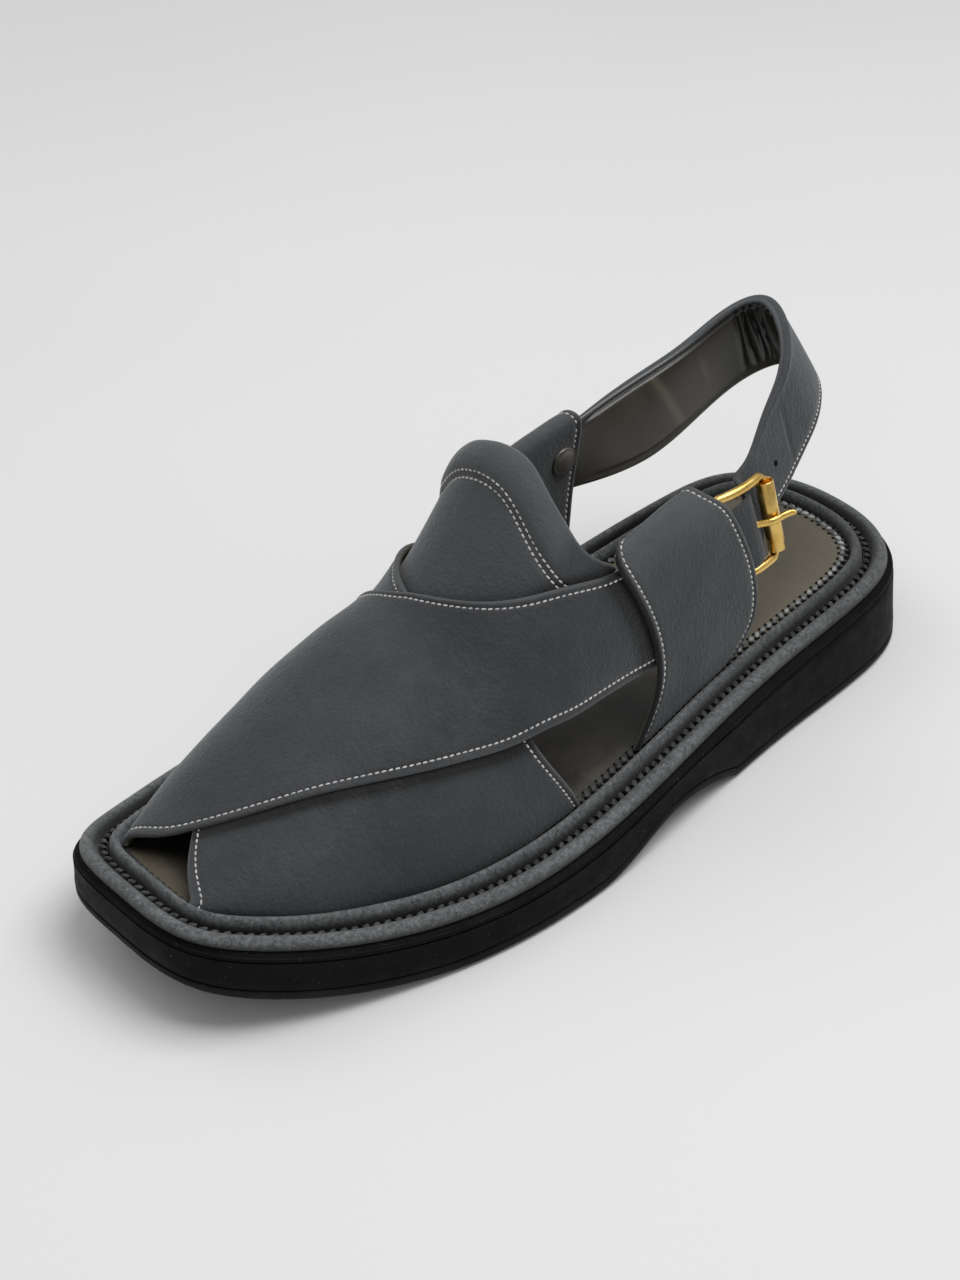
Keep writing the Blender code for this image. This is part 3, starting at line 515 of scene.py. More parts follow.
def prong_path(count):
    """From behind the bar, through the strap and over the roller, its tip bent out."""
    middle, _, back, out = buckle_frame()
    over = 2 * ROLLER_RADIUS - ROLLER_WALL - WIRE_RADIUS + PRONG_RADIUS
    rows = (
        # share of the reach behind the bar, share of the height over the roller
        ((WIRE_RADIUS + GAP) / BUCKLE_REACH, 0.00),
        (0.30, 0.00),
        (0.55, 0.10),
        (0.72, 0.45),
        (0.86, 0.90),
        (1.00, 1.00),
        (1.11, 1.02),
        (1.20, 1.15),
        (1.25, 1.38),
    )
    reach, rise = (line[:, None] for line in curves(rows, (0, 1), np.linspace(0, 1, count)))
    return middle + back * (reach - 0.5) * BUCKLE_REACH + out * rise * over


# Mesh helpers
def mesh_object(name, points, faces, finishes, indices=None, sharp=55, turn_out=True):
    """A smooth-shaded mesh riding on the root, with one material for each face index."""
    mesh = bpy.data.meshes.new(name)
    mesh.from_pydata(np.asarray(points, float).reshape(-1, 3).tolist(), [], faces)
    for finish in finishes:
        mesh.materials.append(finish)
    if indices is not None:
        mesh.polygons.foreach_set("material_index", np.asarray(indices, np.int32))
    mesh.update()
    mesh.shade_smooth()
    mesh.set_sharp_from_angle(angle=math.radians(sharp))
    if turn_out:
        shape = bmesh.new()
        shape.from_mesh(mesh)
        bmesh.ops.recalc_face_normals(shape, faces=shape.faces)
        shape.to_mesh(mesh)
        shape.free()
    made = bpy.data.objects.new(name, mesh)
    visual.objects.link(made)
    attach(made, "root")
    return made


def attribute(made, name, values):
    """Stores one number for each point, for the materials to read."""
    layer = made.data.attributes.new(name, "FLOAT", "POINT")
    layer.data.foreach_set("value", np.asarray(values, np.float32).ravel())


def grid_faces(rows, columns, start=0, loop_rows=False, loop_columns=False, flip=False):
    """Faces between the points of a grid, each as four numbers of points."""
    row, here = np.mgrid[:rows if loop_rows else rows - 1, :columns if loop_columns else columns - 1]
    below = start + row * columns
    above = start + (row + 1) % rows * columns
    beside = (here + 1) % columns
    faces = np.stack([below + here, below + beside, above + beside, above + here], -1).reshape(-1, 4)
    return [tuple(face) for face in (faces[:, ::-1] if flip else faces).tolist()]


def normals_of(grid):
    """Unit normals of a grid of points, from its rows and columns."""
    return unit(np.cross(np.gradient(grid, axis=0), np.gradient(grid, axis=1)))


def outward_sign(outer, inner):
    """Which way the grid's own normals point, from its inner to its outer face."""
    return 1.0 if np.mean(np.sum(normals_of(outer) * (outer - inner), -1)) > 0 else -1.0


def shell(name, outer, inner, finishes, indices, point_values):
    """A closed wall between two grids; indices are the materials of outer, inner and rim."""
    rows, columns = outer.shape[:2]
    count = rows * columns
    numbers = np.arange(count).reshape(rows, columns)
    edge = np.concatenate([numbers[0], numbers[1:, -1], numbers[-1, -2::-1], numbers[-2:0:-1, 0]]).tolist()
    parts = (grid_faces(rows, columns), grid_faces(rows, columns, count, flip=True),
             [(b, a, a + count, b + count) for a, b in zip(edge, edge[1:] + edge[:1])])
    kinds = [kind for part, kind in zip(parts, indices) for _ in part]
    made = mesh_object(name, np.stack([outer, inner]), sum(parts, []), finishes, kinds)
    for key, values in point_values.items():
        attribute(made, key, np.stack([values, values]))
    return made


def loop_solid(name, rings, finish):
    """A solid through closed rings of the same count, with its ends closed by ladders."""
    rings = np.asarray(rings)
    levels, count = rings.shape[:2]
    faces = grid_faces(levels, count, loop_columns=True)
    for level in (0, levels - 1):
        for i in range(count // 2):
            rung = dict.fromkeys([i, i + 1, count - i - 1, (count - i) % count])
            if len(rung) > 2:
                faces.append(tuple(level * count + v for v in rung))
    return mesh_object(name, rings, faces, [finish])


def ring_solid(name, rings, finish):
    """A strip that runs all round: rings joined in a loop round its section."""
    rings = np.asarray(rings)
    return mesh_object(name, rings, grid_faces(*rings.shape[:2], loop_rows=True, loop_columns=True), [finish])


def circles(centre, side, up, axis, rows, count):
    """Round rings in space, one for each pair of a radius and a place along the axis."""
    turns = np.arange(count)[:, None] * math.tau / count
    around = side * np.cos(turns) + up * np.sin(turns)
    return [centre + axis * place + around * radius for radius, place in rows]


def resample(path, normals, pitch, closed=False):
    """Even places along a path, with the tangent and the normal at each."""
    if closed:
        path = np.concatenate([path, path[:1]])
        normals = np.concatenate([normals, normals[:1]])
    walk = walked(path)
    count = max(2, int(round(walk[-1] / pitch)))
    even = (np.arange(count) + (0 if closed else 0.5)) * walk[-1] / count
    nudge = 0.0004

    def at(values, where):
        return np.stack([np.interp(where, walk, values[:, i]) for i in range(3)], -1)

    tangent = unit(at(path, np.minimum(even + nudge, walk[-1])) - at(path, np.maximum(even - nudge, 0)))
    normal = at(normals, even)
    normal = unit(normal - tangent * np.sum(normal * tangent, axis=-1, keepdims=True))
    return at(path, even), tangent, normal


def stitch_template(sides=8, rings=5, power=2.6):
    """A unit stitch: long along x, wide along y, its rounded top along z."""
    points, faces = [(-1, 0, 0)], []
    for r in range(1, rings + 1):
        x = -math.cos(math.pi * r / (rings + 1))
        radius = (1 - abs(x) ** power) ** (1 / power)
        for s in range(sides):
            a = math.tau * s / sides
            points.append((x, radius * math.cos(a), radius * math.sin(a)))
    points.append((1, 0, 0))
    last = len(points) - 1
    for s in range(sides):
        t = (s + 1) % sides
        faces.append((0, 1 + t, 1 + s))
        faces.append((last, last - sides + s, last - sides + t))
        for r in range(rings - 1):
            a = 1 + r * sides
            faces.append((a + s, a + t, a + sides + t, a + sides + s))
    return np.array(points), faces


def stitches(name, path, normals, pitch, size, finish, closed=False, turned=0.0, wobble=0.0, bow=0.0):
    """Threads laid one after another along a path. size is half length, width and height."""
    place, tangent, normal = resample(path, np.broadcast_to(normals, path.shape), pitch, closed)
    side = np.cross(normal, tangent)
    template, pattern = stitch_template()
    angle = turned + wobble * rng.standard_normal(len(place))
    x_axis = tangent * np.cos(angle)[:, None] + side * np.sin(angle)[:, None]
    y_axis = np.cross(normal, x_axis)
    grow = 1 + 0.06 * rng.standard_normal((len(place), 1))
    x, y, z = (template[None, :, i:i + 1] for i in range(3))
    points = (place[:, None] + x_axis[:, None] * (x * size[0]) * grow[:, None]
              + y_axis[:, None] * (y * size[1]) + normal[:, None] * (z * size[2] - bow * x ** 2))
    faces = [tuple(v + i * len(template) for v in face) for i in range(len(place)) for face in pattern]
    return mesh_object(name, points, faces, [finish], turn_out=False)


def tube(name, path, radii, finish, up, closed=False, flat=1.0):
    """A round or flattened wire along a path."""
    sides = 20
    count = len(path)
    if closed:
        tangent = unit(np.roll(path, -1, 0) - np.roll(path, 1, 0))
    else:
        tangent = unit(np.gradient(path, axis=0))
    side = unit(np.cross(tangent, up))
    top = np.cross(side, tangent)
    radii = np.broadcast_to(radii, (count,))[:, None, None]
    turns = (np.arange(sides) * math.tau / sides)[None, :, None]
    points = path[:, None] + radii * (side[:, None] * np.cos(turns) + top[:, None] * np.sin(turns) * flat)
    faces = grid_faces(count, sides, loop_rows=closed, loop_columns=True)
    if not closed:
        faces += [tuple(range(sides))[::-1], tuple(range((count - 1) * sides, count * sides))]
    return mesh_object(name, points, faces, [finish], sharp=50)


# Colours, linear
SLATE_DARK = (0.0230, 0.0250, 0.0285)
SLATE_LIGHT = (0.0465, 0.0495, 0.0545)
# Pale slate of rubbed edges and of the painted highlight on padded crowns
SLATE_WORN_AND_HIGHLIGHT = (0.095, 0.099, 0.104)
TAUPE_DARK = (0.066, 0.058, 0.041)
TAUPE_LIGHT = (0.096, 0.084, 0.060)
# Dark brown of the painted shade under the bands, mottled like the insole's smudges
SMUDGED_SHADE = (0.015, 0.0135, 0.011)
MARGIN_DARK = (0.026, 0.028, 0.029)
ROLL_DARK = (0.044, 0.047, 0.049)
ROLL_LIGHT = (0.172, 0.180, 0.183)
SOLE_DARK = (0.0018, 0.0018, 0.0021)
SOLE_LIGHT = (0.0042, 0.0042, 0.0046)
TREAD_DARK = (0.006, 0.006, 0.0065)
TREAD_LIGHT = (0.013, 0.013, 0.014)
SPECK = (0.10, 0.10, 0.10)
CORD_DARK = (0.010, 0.0105, 0.011)
CORD_LIGHT = (0.062, 0.065, 0.067)
CHAIN_DARK = (0.07, 0.075, 0.073)
CHAIN_LIGHT = (0.34, 0.36, 0.35)
THREAD_DARK = (0.38, 0.38, 0.36)
THREAD_LIGHT = (0.62, 0.62, 0.59)
BRASS_DARK = (0.60, 0.38, 0.09)
BRASS_LIGHT = (0.84, 0.58, 0.19)
GUNMETAL_DARK = (0.10, 0.095, 0.088)
GUNMETAL_LIGHT = (0.22, 0.21, 0.195)
FLOOR_DARK = (0.74, 0.745, 0.735)
FLOOR_LIGHT = (0.77, 0.775, 0.765)
NAP_TINT = (0.75, 0.78, 0.8, 1)


def tone(color, share):
    """A colour made darker or lighter."""
    return tuple(share * v for v in color)


def gray(value):
    """A grey of this value."""
    return (value, value, value)


# Materials
class Finish:
    """Builds one procedural material around a Principled shader."""

    def __init__(self, name, roughness, **sockets):
        self.made = bpy.data.materials.new(name)
        self.made.use_nodes = True
        self.tree = self.made.node_tree
        self.shader = self.tree.nodes["Principled BSDF"]
        for key, value in dict(sockets, Roughness=roughness).items():
            self.shader.inputs[key.replace("_", " ")].default_value = value
        self.place = self.node("ShaderNodeTexCoord").outputs["Object"]
        self.height = None

    def node(self, kind, **inputs):
        made = self.tree.nodes.new(kind)
        for key, value in inputs.items():
            made.inputs[key.replace("_", " ")].default_value = value
        return made

    def link(self, a, b):
        self.tree.links.new(a, b)

    def noise(self, scale, detail=3.0, rough=0.55, stretch=None):
        made = self.node("ShaderNodeTexNoise", Scale=scale, Detail=detail, Roughness=rough)
        place = self.place
        if stretch is not None:
            mapping = self.node("ShaderNodeMapping", Scale=stretch)
            self.link(place, mapping.inputs["Vector"])
            place = mapping.outputs["Vector"]
        self.link(place, made.inputs["Vector"])
        return made.outputs["Fac"]

    def cells(self, scale):
        made = self.node("ShaderNodeTexVoronoi", Scale=scale)
        made.feature = "SMOOTH_F1"
        made.inputs["Smoothness"].default_value = 0.6
        self.link(self.place, made.inputs["Vector"])
        return made.outputs["Distance"]

    def stretch(self, value, low, high, new_low=0.0, new_high=1.0):
        """The value brought from one range to another, held at its ends."""
        made = self.node("ShaderNodeMapRange", From_Min=low, From_Max=high, To_Min=new_low, To_Max=new_high)
        self.link(value, made.inputs["Value"])
        return made.outputs["Result"]

    def product(self, first, second):
        made = self.node("ShaderNodeMath")
        made.operation = "MULTIPLY"
        self.link(first, made.inputs[0])
        self.link(second, made.inputs[1])
        return made.outputs["Value"]

    def axis(self, vector, name):
        made = self.node("ShaderNodeSeparateXYZ")
        self.link(vector, made.inputs["Vector"])
        return made.outputs[name]

    def color(self, value, dark, light, low=0.35, high=0.65):
        """From dark to light as the value goes from low to high."""
        ramp = self.node("ShaderNodeValToRGB")
        for end, place, color in zip(ramp.color_ramp.elements, (low, high), (dark, light)):
            end.position = place
            end.color = (*color, 1)
        self.link(value, ramp.inputs["Fac"])
        return ramp.outputs["Color"]

    def mix(self, factor, first, second):
        made = self.node("ShaderNodeMix")
        made.data_type = "RGBA"
        self.link(factor, made.inputs[0])
        for slot, value in ((6, first), (7, second)):
            if isinstance(value, tuple):
                made.inputs[slot].default_value = (*value, 1)
            else:
                self.link(value, made.inputs[slot])
        return made.outputs[2]

    def point(self, name):
        """The number painted on the mesh under this name."""
        made = self.node("ShaderNodeAttribute")
        made.attribute_name = name
        return made.outputs["Fac"]

    def painted(self, name, color, other, most, full=1.0):
        """Mixes in the other colour where the painted number nears full."""
        return self.mix(self.stretch(self.point(name), 0.0, full, 0.0, most), color, other)

    def paint(self, color):
        self.link(color, self.shader.inputs["Base Color"])

    def rough(self, value, low, high):
        self.link(self.stretch(value, 0.3, 0.7, low, high), self.shader.inputs["Roughness"])

    def bump(self, value, distance, strength=1.0):
        made = self.node("ShaderNodeBump", Strength=strength, Distance=distance)
        self.link(value, made.inputs["Height"])
        if self.height is not None:
            self.link(self.height, made.inputs["Normal"])
        self.height = made.outputs["Normal"]
        self.link(self.height, self.shader.inputs["Normal"])


def leather_finish():
    """Matt pebbled leather with a slight nap: paler on rubbed edges, a painted highlight on padded crowns,
    and black painted shade in crevices.
    """
    f = Finish("slate_leather", 0.62, Sheen_Weight=0.30, Sheen_Roughness=0.5, Sheen_Tint=NAP_TINT,
               Specular_IOR_Level=0.24)
    color = f.color(f.noise(26, 4, 0.6), SLATE_DARK, SLATE_LIGHT, 0.3, 0.7)
    color = f.mix(f.stretch(f.noise(900, 2, 0.6), 0.35, 0.65, 0.0, 0.28), color, tone(SLATE_DARK, 0.55))
    # Paler on rubbed edges, and a painted highlight on the tongue's front and the side bands' crowns
    color = f.painted("wear_highlight_and_shade", color, SLATE_WORN_AND_HIGHLIGHT, 0.55)
    # Near black painted as shade where the number is negative: crevices beside covering edges, along the rand
    # and by the roller
    f.paint(f.painted("wear_highlight_and_shade", color, gray(0.002), 0.93, full=-1.0))
    f.rough(f.noise(180, 3), 0.56, 0.74)
    f.bump(f.cells(950), 0.00018, 0.9)
    f.bump(f.noise(420, 4, 0.65), 0.00012, 0.6)
    f.bump(f.noise(330, 3, 0.6, (0.7, 1.9, 1.0)), 0.00045, 0.65)
    f.bump(f.noise(60, 3), 0.0004, 0.35)
    return f.made


def lining_finish():
    """Smooth semi-gloss lining leather with faint pores."""
    f = Finish("taupe_lining", 0.42, Coat_Weight=0.16, Coat_Roughness=0.32, Specular_IOR_Level=0.45)
    taupe = f.color(f.noise(30, 4), TAUPE_DARK, TAUPE_LIGHT, 0.3, 0.7)
    f.paint(f.mix(f.stretch(f.noise(700, 2), 0.4, 0.7, 0.0, 0.22), taupe, tone(TAUPE_DARK, 0.6)))
    f.rough(f.noise(120, 4), 0.36, 0.52)
    f.bump(f.noise(1300, 3, 0.6), 0.00008, 0.7)
    f.bump(f.noise(90, 4, 0.55), 0.0005, 0.30)
    return f.made


def strap_lining_finish():
    """Glossier, darker lining, paler along its creases and with black painted shade in its folds; its rolled
    upper rim is the outer leather.
    """
    f = Finish("strap_lining", 0.34, Coat_Weight=0.25, Coat_Roughness=0.28, Specular_IOR_Level=0.5)
    taupe = f.color(f.noise(30, 4), tone(TAUPE_DARK, 0.35), tone(TAUPE_LIGHT, 0.46), 0.3, 0.7)
    # Paler along the lining's creases
    taupe = f.painted("pale_crease", taupe, tone(TAUPE_LIGHT, 1.1), 0.75)
    # Near black painted as shade in the lining's folds and grooves
    taupe = f.painted("fold", taupe, gray(0.003), 0.88)
    f.paint(f.mix(f.point("roll"), taupe, SLATE_LIGHT))
    f.rough(f.noise(120, 4), 0.30, 0.44)
    f.bump(f.noise(1300, 3, 0.6), 0.00006, 0.6)
    f.bump(f.noise(60, 4, 0.55), 0.0006, 0.35)
    return f.made


def insole_finish():
    """Semi-gloss taupe footbed leather with a dark stitched margin, painted shade under the bands and black
    painted shadow in the toe opening and the gap.
    """
    f = Finish("insole_leather", 0.42, Coat_Weight=0.10, Coat_Roughness=0.4, Specular_IOR_Level=0.45)
    taupe = f.color(f.noise(22, 4, 0.6), tone(TAUPE_DARK, 1.3), tone(TAUPE_LIGHT, 1.3), 0.3, 0.7)
    taupe = f.mix(f.stretch(f.noise(800, 2), 0.4, 0.7, 0.0, 0.18), taupe, tone(TAUPE_DARK, 0.6))
    # Painted shade under the bands, mottled like the smudges on the insole
    smudge_mottle = f.stretch(f.noise(48, 5, 0.7), 0.36, 0.64, 0.40, 1.0)
    taupe = f.mix(f.product(smudge_mottle, f.point("shade")), taupe, SMUDGED_SHADE)
    # Black painted shadow in the toe opening and the gap between the bands
    taupe = f.painted("black", taupe, gray(0.001), 0.92)
    f.paint(f.mix(f.stretch(f.point("margin"), 0.9, 1.5), MARGIN_DARK, taupe))
    f.rough(f.noise(110, 4), 0.36, 0.52)
    f.bump(f.noise(1200, 3, 0.6), 0.00007, 0.7)
    f.bump(f.noise(70, 4, 0.55), 0.0004, 0.25)
    return f.made


def rolled_finish():
    """Rolled leather beads: rubbed, with pale and dark flecks, and painted shade in the channel and at their
    feet.
    """
    f = Finish("rolled_mottled", 0.62, Specular_IOR_Level=0.3, Sheen_Weight=0.15, Sheen_Roughness=0.5)
    mottled = f.color(f.noise(640, 6, 0.7), ROLL_DARK, ROLL_LIGHT, 0.36, 0.66)
    mottled = f.mix(f.stretch(f.noise(90, 3, 0.6), 0.35, 0.7, 0.0, 0.45), mottled, ROLL_DARK)
    fleck = f.stretch(f.noise(1900, 2, 0.6), 0.60, 0.72, 0.0, 0.7)
    color = f.mix(fleck, mottled, tone(ROLL_LIGHT, 1.9))
    # Near black painted as shade in the channel and the crevices at the roll's feet, and darker round the
    # heel, by the number deep
    f.paint(f.painted("deep", color, (0.004, 0.004, 0.0045), 0.95))
    f.rough(f.noise(300, 4), 0.46, 0.72)
    f.bump(f.noise(1300, 5, 0.7), 0.00024, 0.9)
    f.bump(f.noise(160, 3), 0.0004, 0.4)
    return f.made


def rubber_finish(name, dark, light, tread=False):
    """Matt moulded rubber with a dusty bloom, and a fine tread where it faces down."""
    f = Finish(name, 0.58, Specular_IOR_Level=0.09)
    color = f.color(f.noise(45, 5, 0.6), dark, light, 0.35, 0.7)
    f.paint(f.mix(f.stretch(f.noise(1500, 1, 0.5), 0.735, 0.76, 0.0, 0.5), color, SPECK))
    f.rough(f.noise(150, 5, 0.6), 0.5, 0.7)
    f.bump(f.noise(1100, 3, 0.6), 0.00006, 0.7)
    f.bump(f.noise(30, 3), 0.0006, 0.3)
    if tread:
        wave = f.node("ShaderNodeTexWave", Scale=85.0, Distortion=1.2, Detail=1.0, Detail_Scale=12.0)
        wave.bands_direction = "Y"
        f.link(f.place, wave.inputs["Vector"])
        down = f.axis(f.node("ShaderNodeNewGeometry").outputs["True Normal"], "Z")
        f.bump(f.product(wave.outputs["Fac"], f.stretch(down, -0.55, -0.85)), 0.0012, 1.0)
    return f.made


def thread_finish(name, dark, light, rough=0.75):
    """Twisted thread: fine slanting fibres and small changes of tone."""
    f = Finish(name, rough, Sheen_Weight=0.25, Sheen_Roughness=0.4, Specular_IOR_Level=0.35)
    f.paint(f.color(f.noise(420, 3), dark, light))
    f.bump(f.noise(3200, 2, 0.6), 0.00008, 0.9)
    return f.made


def chain_finish():
    """Grey chain stitch, darkened where the bands shade it."""
    f = Finish("chain_cord", 0.6, Sheen_Weight=0.2, Sheen_Roughness=0.4, Specular_IOR_Level=0.4)
    color = f.color(f.noise(330, 2), CHAIN_DARK, CHAIN_LIGHT, 0.38, 0.60)
    f.paint(f.mix(f.stretch(f.axis(f.place, "Y"), 0.040, 0.022, 0.0, 0.82), color, gray(0.006)))
    f.bump(f.noise(2400, 2, 0.6), 0.00012, 0.9)
    return f.made


def hole_finish():
    """The inside of a pricked hole, painted near black as the shade in it."""
    f = Finish("pricked_hole", 0.9, Specular_IOR_Level=0.1)
    f.paint(f.color(f.noise(300, 2), gray(0.001), gray(0.004)))
    return f.made


def metal_finish(name, dark, light, rough):
    """Polished cast metal, rubbed in fine lines and a little darker in patches."""
    f = Finish(name, rough, Metallic=1.0)
    f.paint(f.color(f.noise(130, 5, 0.6), dark, light, 0.3, 0.62))
    f.rough(f.noise(260, 5, 0.65), rough - 0.07, rough + 0.16)
    f.bump(f.noise(900, 3, 0.6, (1.0, 1.0, 0.08)), 0.00003, 0.7)
    f.bump(f.noise(160, 3), 0.0001, 0.35)
    return f.made


def floor_finish():
    """Pale floor paper, hardly mottled."""
    f = Finish("floor_paper", 0.85, Specular_IOR_Level=0.2)
    f.paint(f.color(f.noise(2.2, 2), FLOOR_DARK, FLOOR_LIGHT, 0.3, 0.7))
    f.bump(f.noise(900, 2), 0.00003, 0.3)
    return f.made


# Distances from a folded edge at which a band's surface gets a row of points
EDGE_STEPS = np.array([0, 0.10, 0.25, 0.45, 0.7, 1.0, 1.4, 1.8, 2.15, 2.45, 2.75, 3.1, 3.6, 4.4, 5.6,
                       7.0]) / 1000

# Points round the outline and over a roll, then rows along the upper's surfaces and points
# across them (for the bands and the strap, those between the dense rows near both edges)
FINE_RING = 480
ROLL_STEPS = 18
BAND_ROWS = 260
BAND_COLUMNS = 64
SIDE_ROWS = 230
SIDE_COLUMNS = 26
TONGUE_ROWS = 150
TONGUE_COLUMNS = 90
STRAP_STEPS = 26
STRAP_COLUMNS = 20
UP = (0.0, 0.0, 1.0)

# Threads and pricked holes: the pitch of a row, and half length, width and height of one
STITCH_INSET = 0.0026
SEAM_PITCH = 0.00205
SEAM_SIZE = (0.00078, 0.00034, 0.00030)
STRAP_PITCH = 0.0019
STRAP_SIZE = (0.0007, 0.00026, 0.00024)
CHANNEL_PITCH = 0.0034
CHANNEL_SIZE = (0.0020, 0.00085, 0.0010)
CHANNEL_HOLE = (0.00050, 0.00125, 0.00075)
CHAIN_INSET = 0.0021
CHAIN_PITCH = 0.0031
CHAIN_SIZE = (0.00125, 0.00085, 0.00080)
CHAIN_HOLES = (
    # name, place beside the chain, size
    ("chain_holes_out", -0.0012, 0.0011),
    ("chain_holes_in", 0.0013, 0.0007),
)

# Reach of the painted shade beside what covers or touches a surface
SLEEVE_SHADE = 0.0052
OVER_SHADE = 0.0031
TONGUE_SHADE = (0.0026, 0.0022)
FOOT_SHADE = 0.0017
ROLLER_SHADE = 0.0046

# Outline points on each side of the toe's middle that carry no chain stitch
TOE_PLAIN = 45

# How dark a roll's surface is painted as shade, from its outer foot over its top to its inner foot
WELT_SHADE = (0.95, 0.75, 0.45, 0.20, 0.05, 0, 0, 0, 0, 0, 0.05, 0.20, 0.45, 0.70, 0.88, 0.96, 1, 1)
RAND_SHADE = (1, 0.95, 0.72, 0.38, 0.10, 0, 0, 0, 0, 0, 0, 0, 0.05, 0.12, 0.25, 0.45, 0.75, 0.95)

# Strap: folds in the lining round the bend, holes and the tail's seam, as places past the bend
BEND_FOLDS = (
    # past the bend, depth, width
    (-0.0155, 0.6, 0.0011),
    (-0.0118, 0.9, 0.0009),
    (-0.0082, 1.1, 0.0010),
    (-0.0049, 1.0, 0.0008),
    (-0.0014, 1.2, 0.0010),
    (0.0024, 1.0, 0.0009),
    (0.0060, 1.0, 0.0008),
    (0.0100, 0.7, 0.0009),
)
STRAP_SEAM_END = 0.078
TAIL_SEAM = (0.094, 0.112)
STRAP_HOLES = (
    # past the bend, share of the width from the upper edge
    (0.063, 0.54),
    (0.101, 0.62),
)
HOLE_RINGS = (
    # radius, place over the leather
    (0.0010, -0.0001),
    (0.0010, 0.00006),
    (0.0007, 0.00008),
)

# Side band: rows of its outer and inner seams, and the share of the rows from which the
# lateral band's inner leaf shows its lining
OUTER_SEAM = slice(4, 165)
INNER_SEAM = slice(168, 226)
LEAF_START = 0.76

# Metal parts a little stouter than their solids, as the photograph shows them, and how far
# the wire's sides bow out
WIRE_STOUT = 1.22
WIRE_BOW = 0.0019
RIVET_STOUT = 1.35


# Surfaces
def fold_roll(distance, radius=0.0010):
    """0 at a folded edge and 1 from a radius inwards, as a quarter round."""
    gone = 1 - np.clip(distance / radius, 0, 1)
    return np.sqrt(np.clip(1 - gone ** 2, 0, 1))


def fold_relief(distance):
    """Raised fold along an edge and the valley its stitches pull in."""
    return 0.00026 * bell(distance, 0.0013, 0.0010) - 0.00034 * bell(distance, STITCH_INSET, 0.0006)


def wear_near(distance):
    """Rubbed paleness along an edge."""
    return 0.85 * bell(distance, 0.0004, 0.0007)


def soft(points, seed=0.0):
    """Slow swells of a leather surface, in metres."""
    x, y, z = (points[..., i] for i in range(3))
    wave = np.sin(190 * x + 110 * y + seed) + 0.8 * np.sin(-120 * x + 230 * y + 90 * z + 1.7 + seed)
    return 0.00009 * (wave + 0.6 * np.sin(330 * y - 260 * z + 2.9 * seed))


def edge_places(width, middle_count, most=0.42):
    """For rows of a given width, distances from the first edge, dense near both edges."""
    first = EDGE_STEPS * np.minimum(1, most * width / EDGE_STEPS[-1])
    last = width - first[:, ::-1]
    share = np.linspace(0, 1, middle_count + 2)[1:-1]
    return np.concatenate([first, first[:, -1:] + (last[:, :1] - first[:, -1:]) * share, last], axis=1)


def row_widths(points):
    """Widths of the rows of a surface, given as a function of the share across it."""
    grid = np.concatenate([points(share) for share in np.linspace(0, 1, 16)], axis=1)
    return np.linalg.norm(np.diff(grid, axis=1), axis=2).sum(axis=1)[:, None]


def row_path(surface, places, inset):
    """Points on a surface at a distance from its first edge (or its last, if negative)."""
    path = []
    for row, walk in zip(surface, places):
        where = inset if inset > 0 else walk[-1] + inset
        path.append([np.interp(where, walk, row[:, i]) for i in range(3)])
    return np.array(path)


def near_line(points, line, reach):
    """1 on a covering edge and 0 beyond its reach, for the shade in the crevice beside it."""
    return bell(nearest(points, line), 0, reach)


def foot_shade(points):
    """The dark line where an upper goes down beside the rand."""
    y = np.linspace(points[..., 1].min(), points[..., 1].max(), 160)
    return 0.9 * sum(near_line(points, form(turn, y, 0), FOOT_SHADE) for turn in (0, 1))


def seam(name, path, normals, pitch=SEAM_PITCH, size=SEAM_SIZE):
    """Pale stitches along a path."""
    made = stitches(name, path, unit(normals), pitch, size, thread, turned=0.10, wobble=0.05, bow=0.00012)


def edge_stitches(name, outer, places, inset, sign, rows=slice(None), pitch=SEAM_PITCH, size=SEAM_SIZE):
    """A seam beside a surface's first edge (or its last, if the inset is negative)."""
    normals = row_path(normals_of(outer) * sign, places, inset)
    seam(name, row_path(outer, places, inset)[rows], normals[rows], pitch, size)


# Sole
def ring_at(inset):
    """The outline moved in, without the loops that a tight corner would make."""
    ring = outline_ring(inset, FINE_RING)
    if inset < 0.004:
        return ring
    away = nearest(ring, outline_ring(0.0, FINE_RING * 2))
    good = np.nonzero(away > inset - 0.00012)[0]
    around = np.concatenate([good - FINE_RING, good, good + FINE_RING])
    values = np.concatenate([ring[good]] * 3)
    ring = np.stack([np.interp(np.arange(FINE_RING), around, values[:, i]) for i in range(2)], -1)
    for _ in range(int(2 + inset * 900)):
        ring = ring + 0.25 * (np.roll(ring, 1, 0) + np.roll(ring, -1, 0) - 2 * ring)
    return ring


def ring_over(inset, height):
    """The outline moved in and lifted to the heights that a function gives for its y values."""
    ring = ring_at(inset)
    return np.column_stack([ring, height(ring[:, 1])])


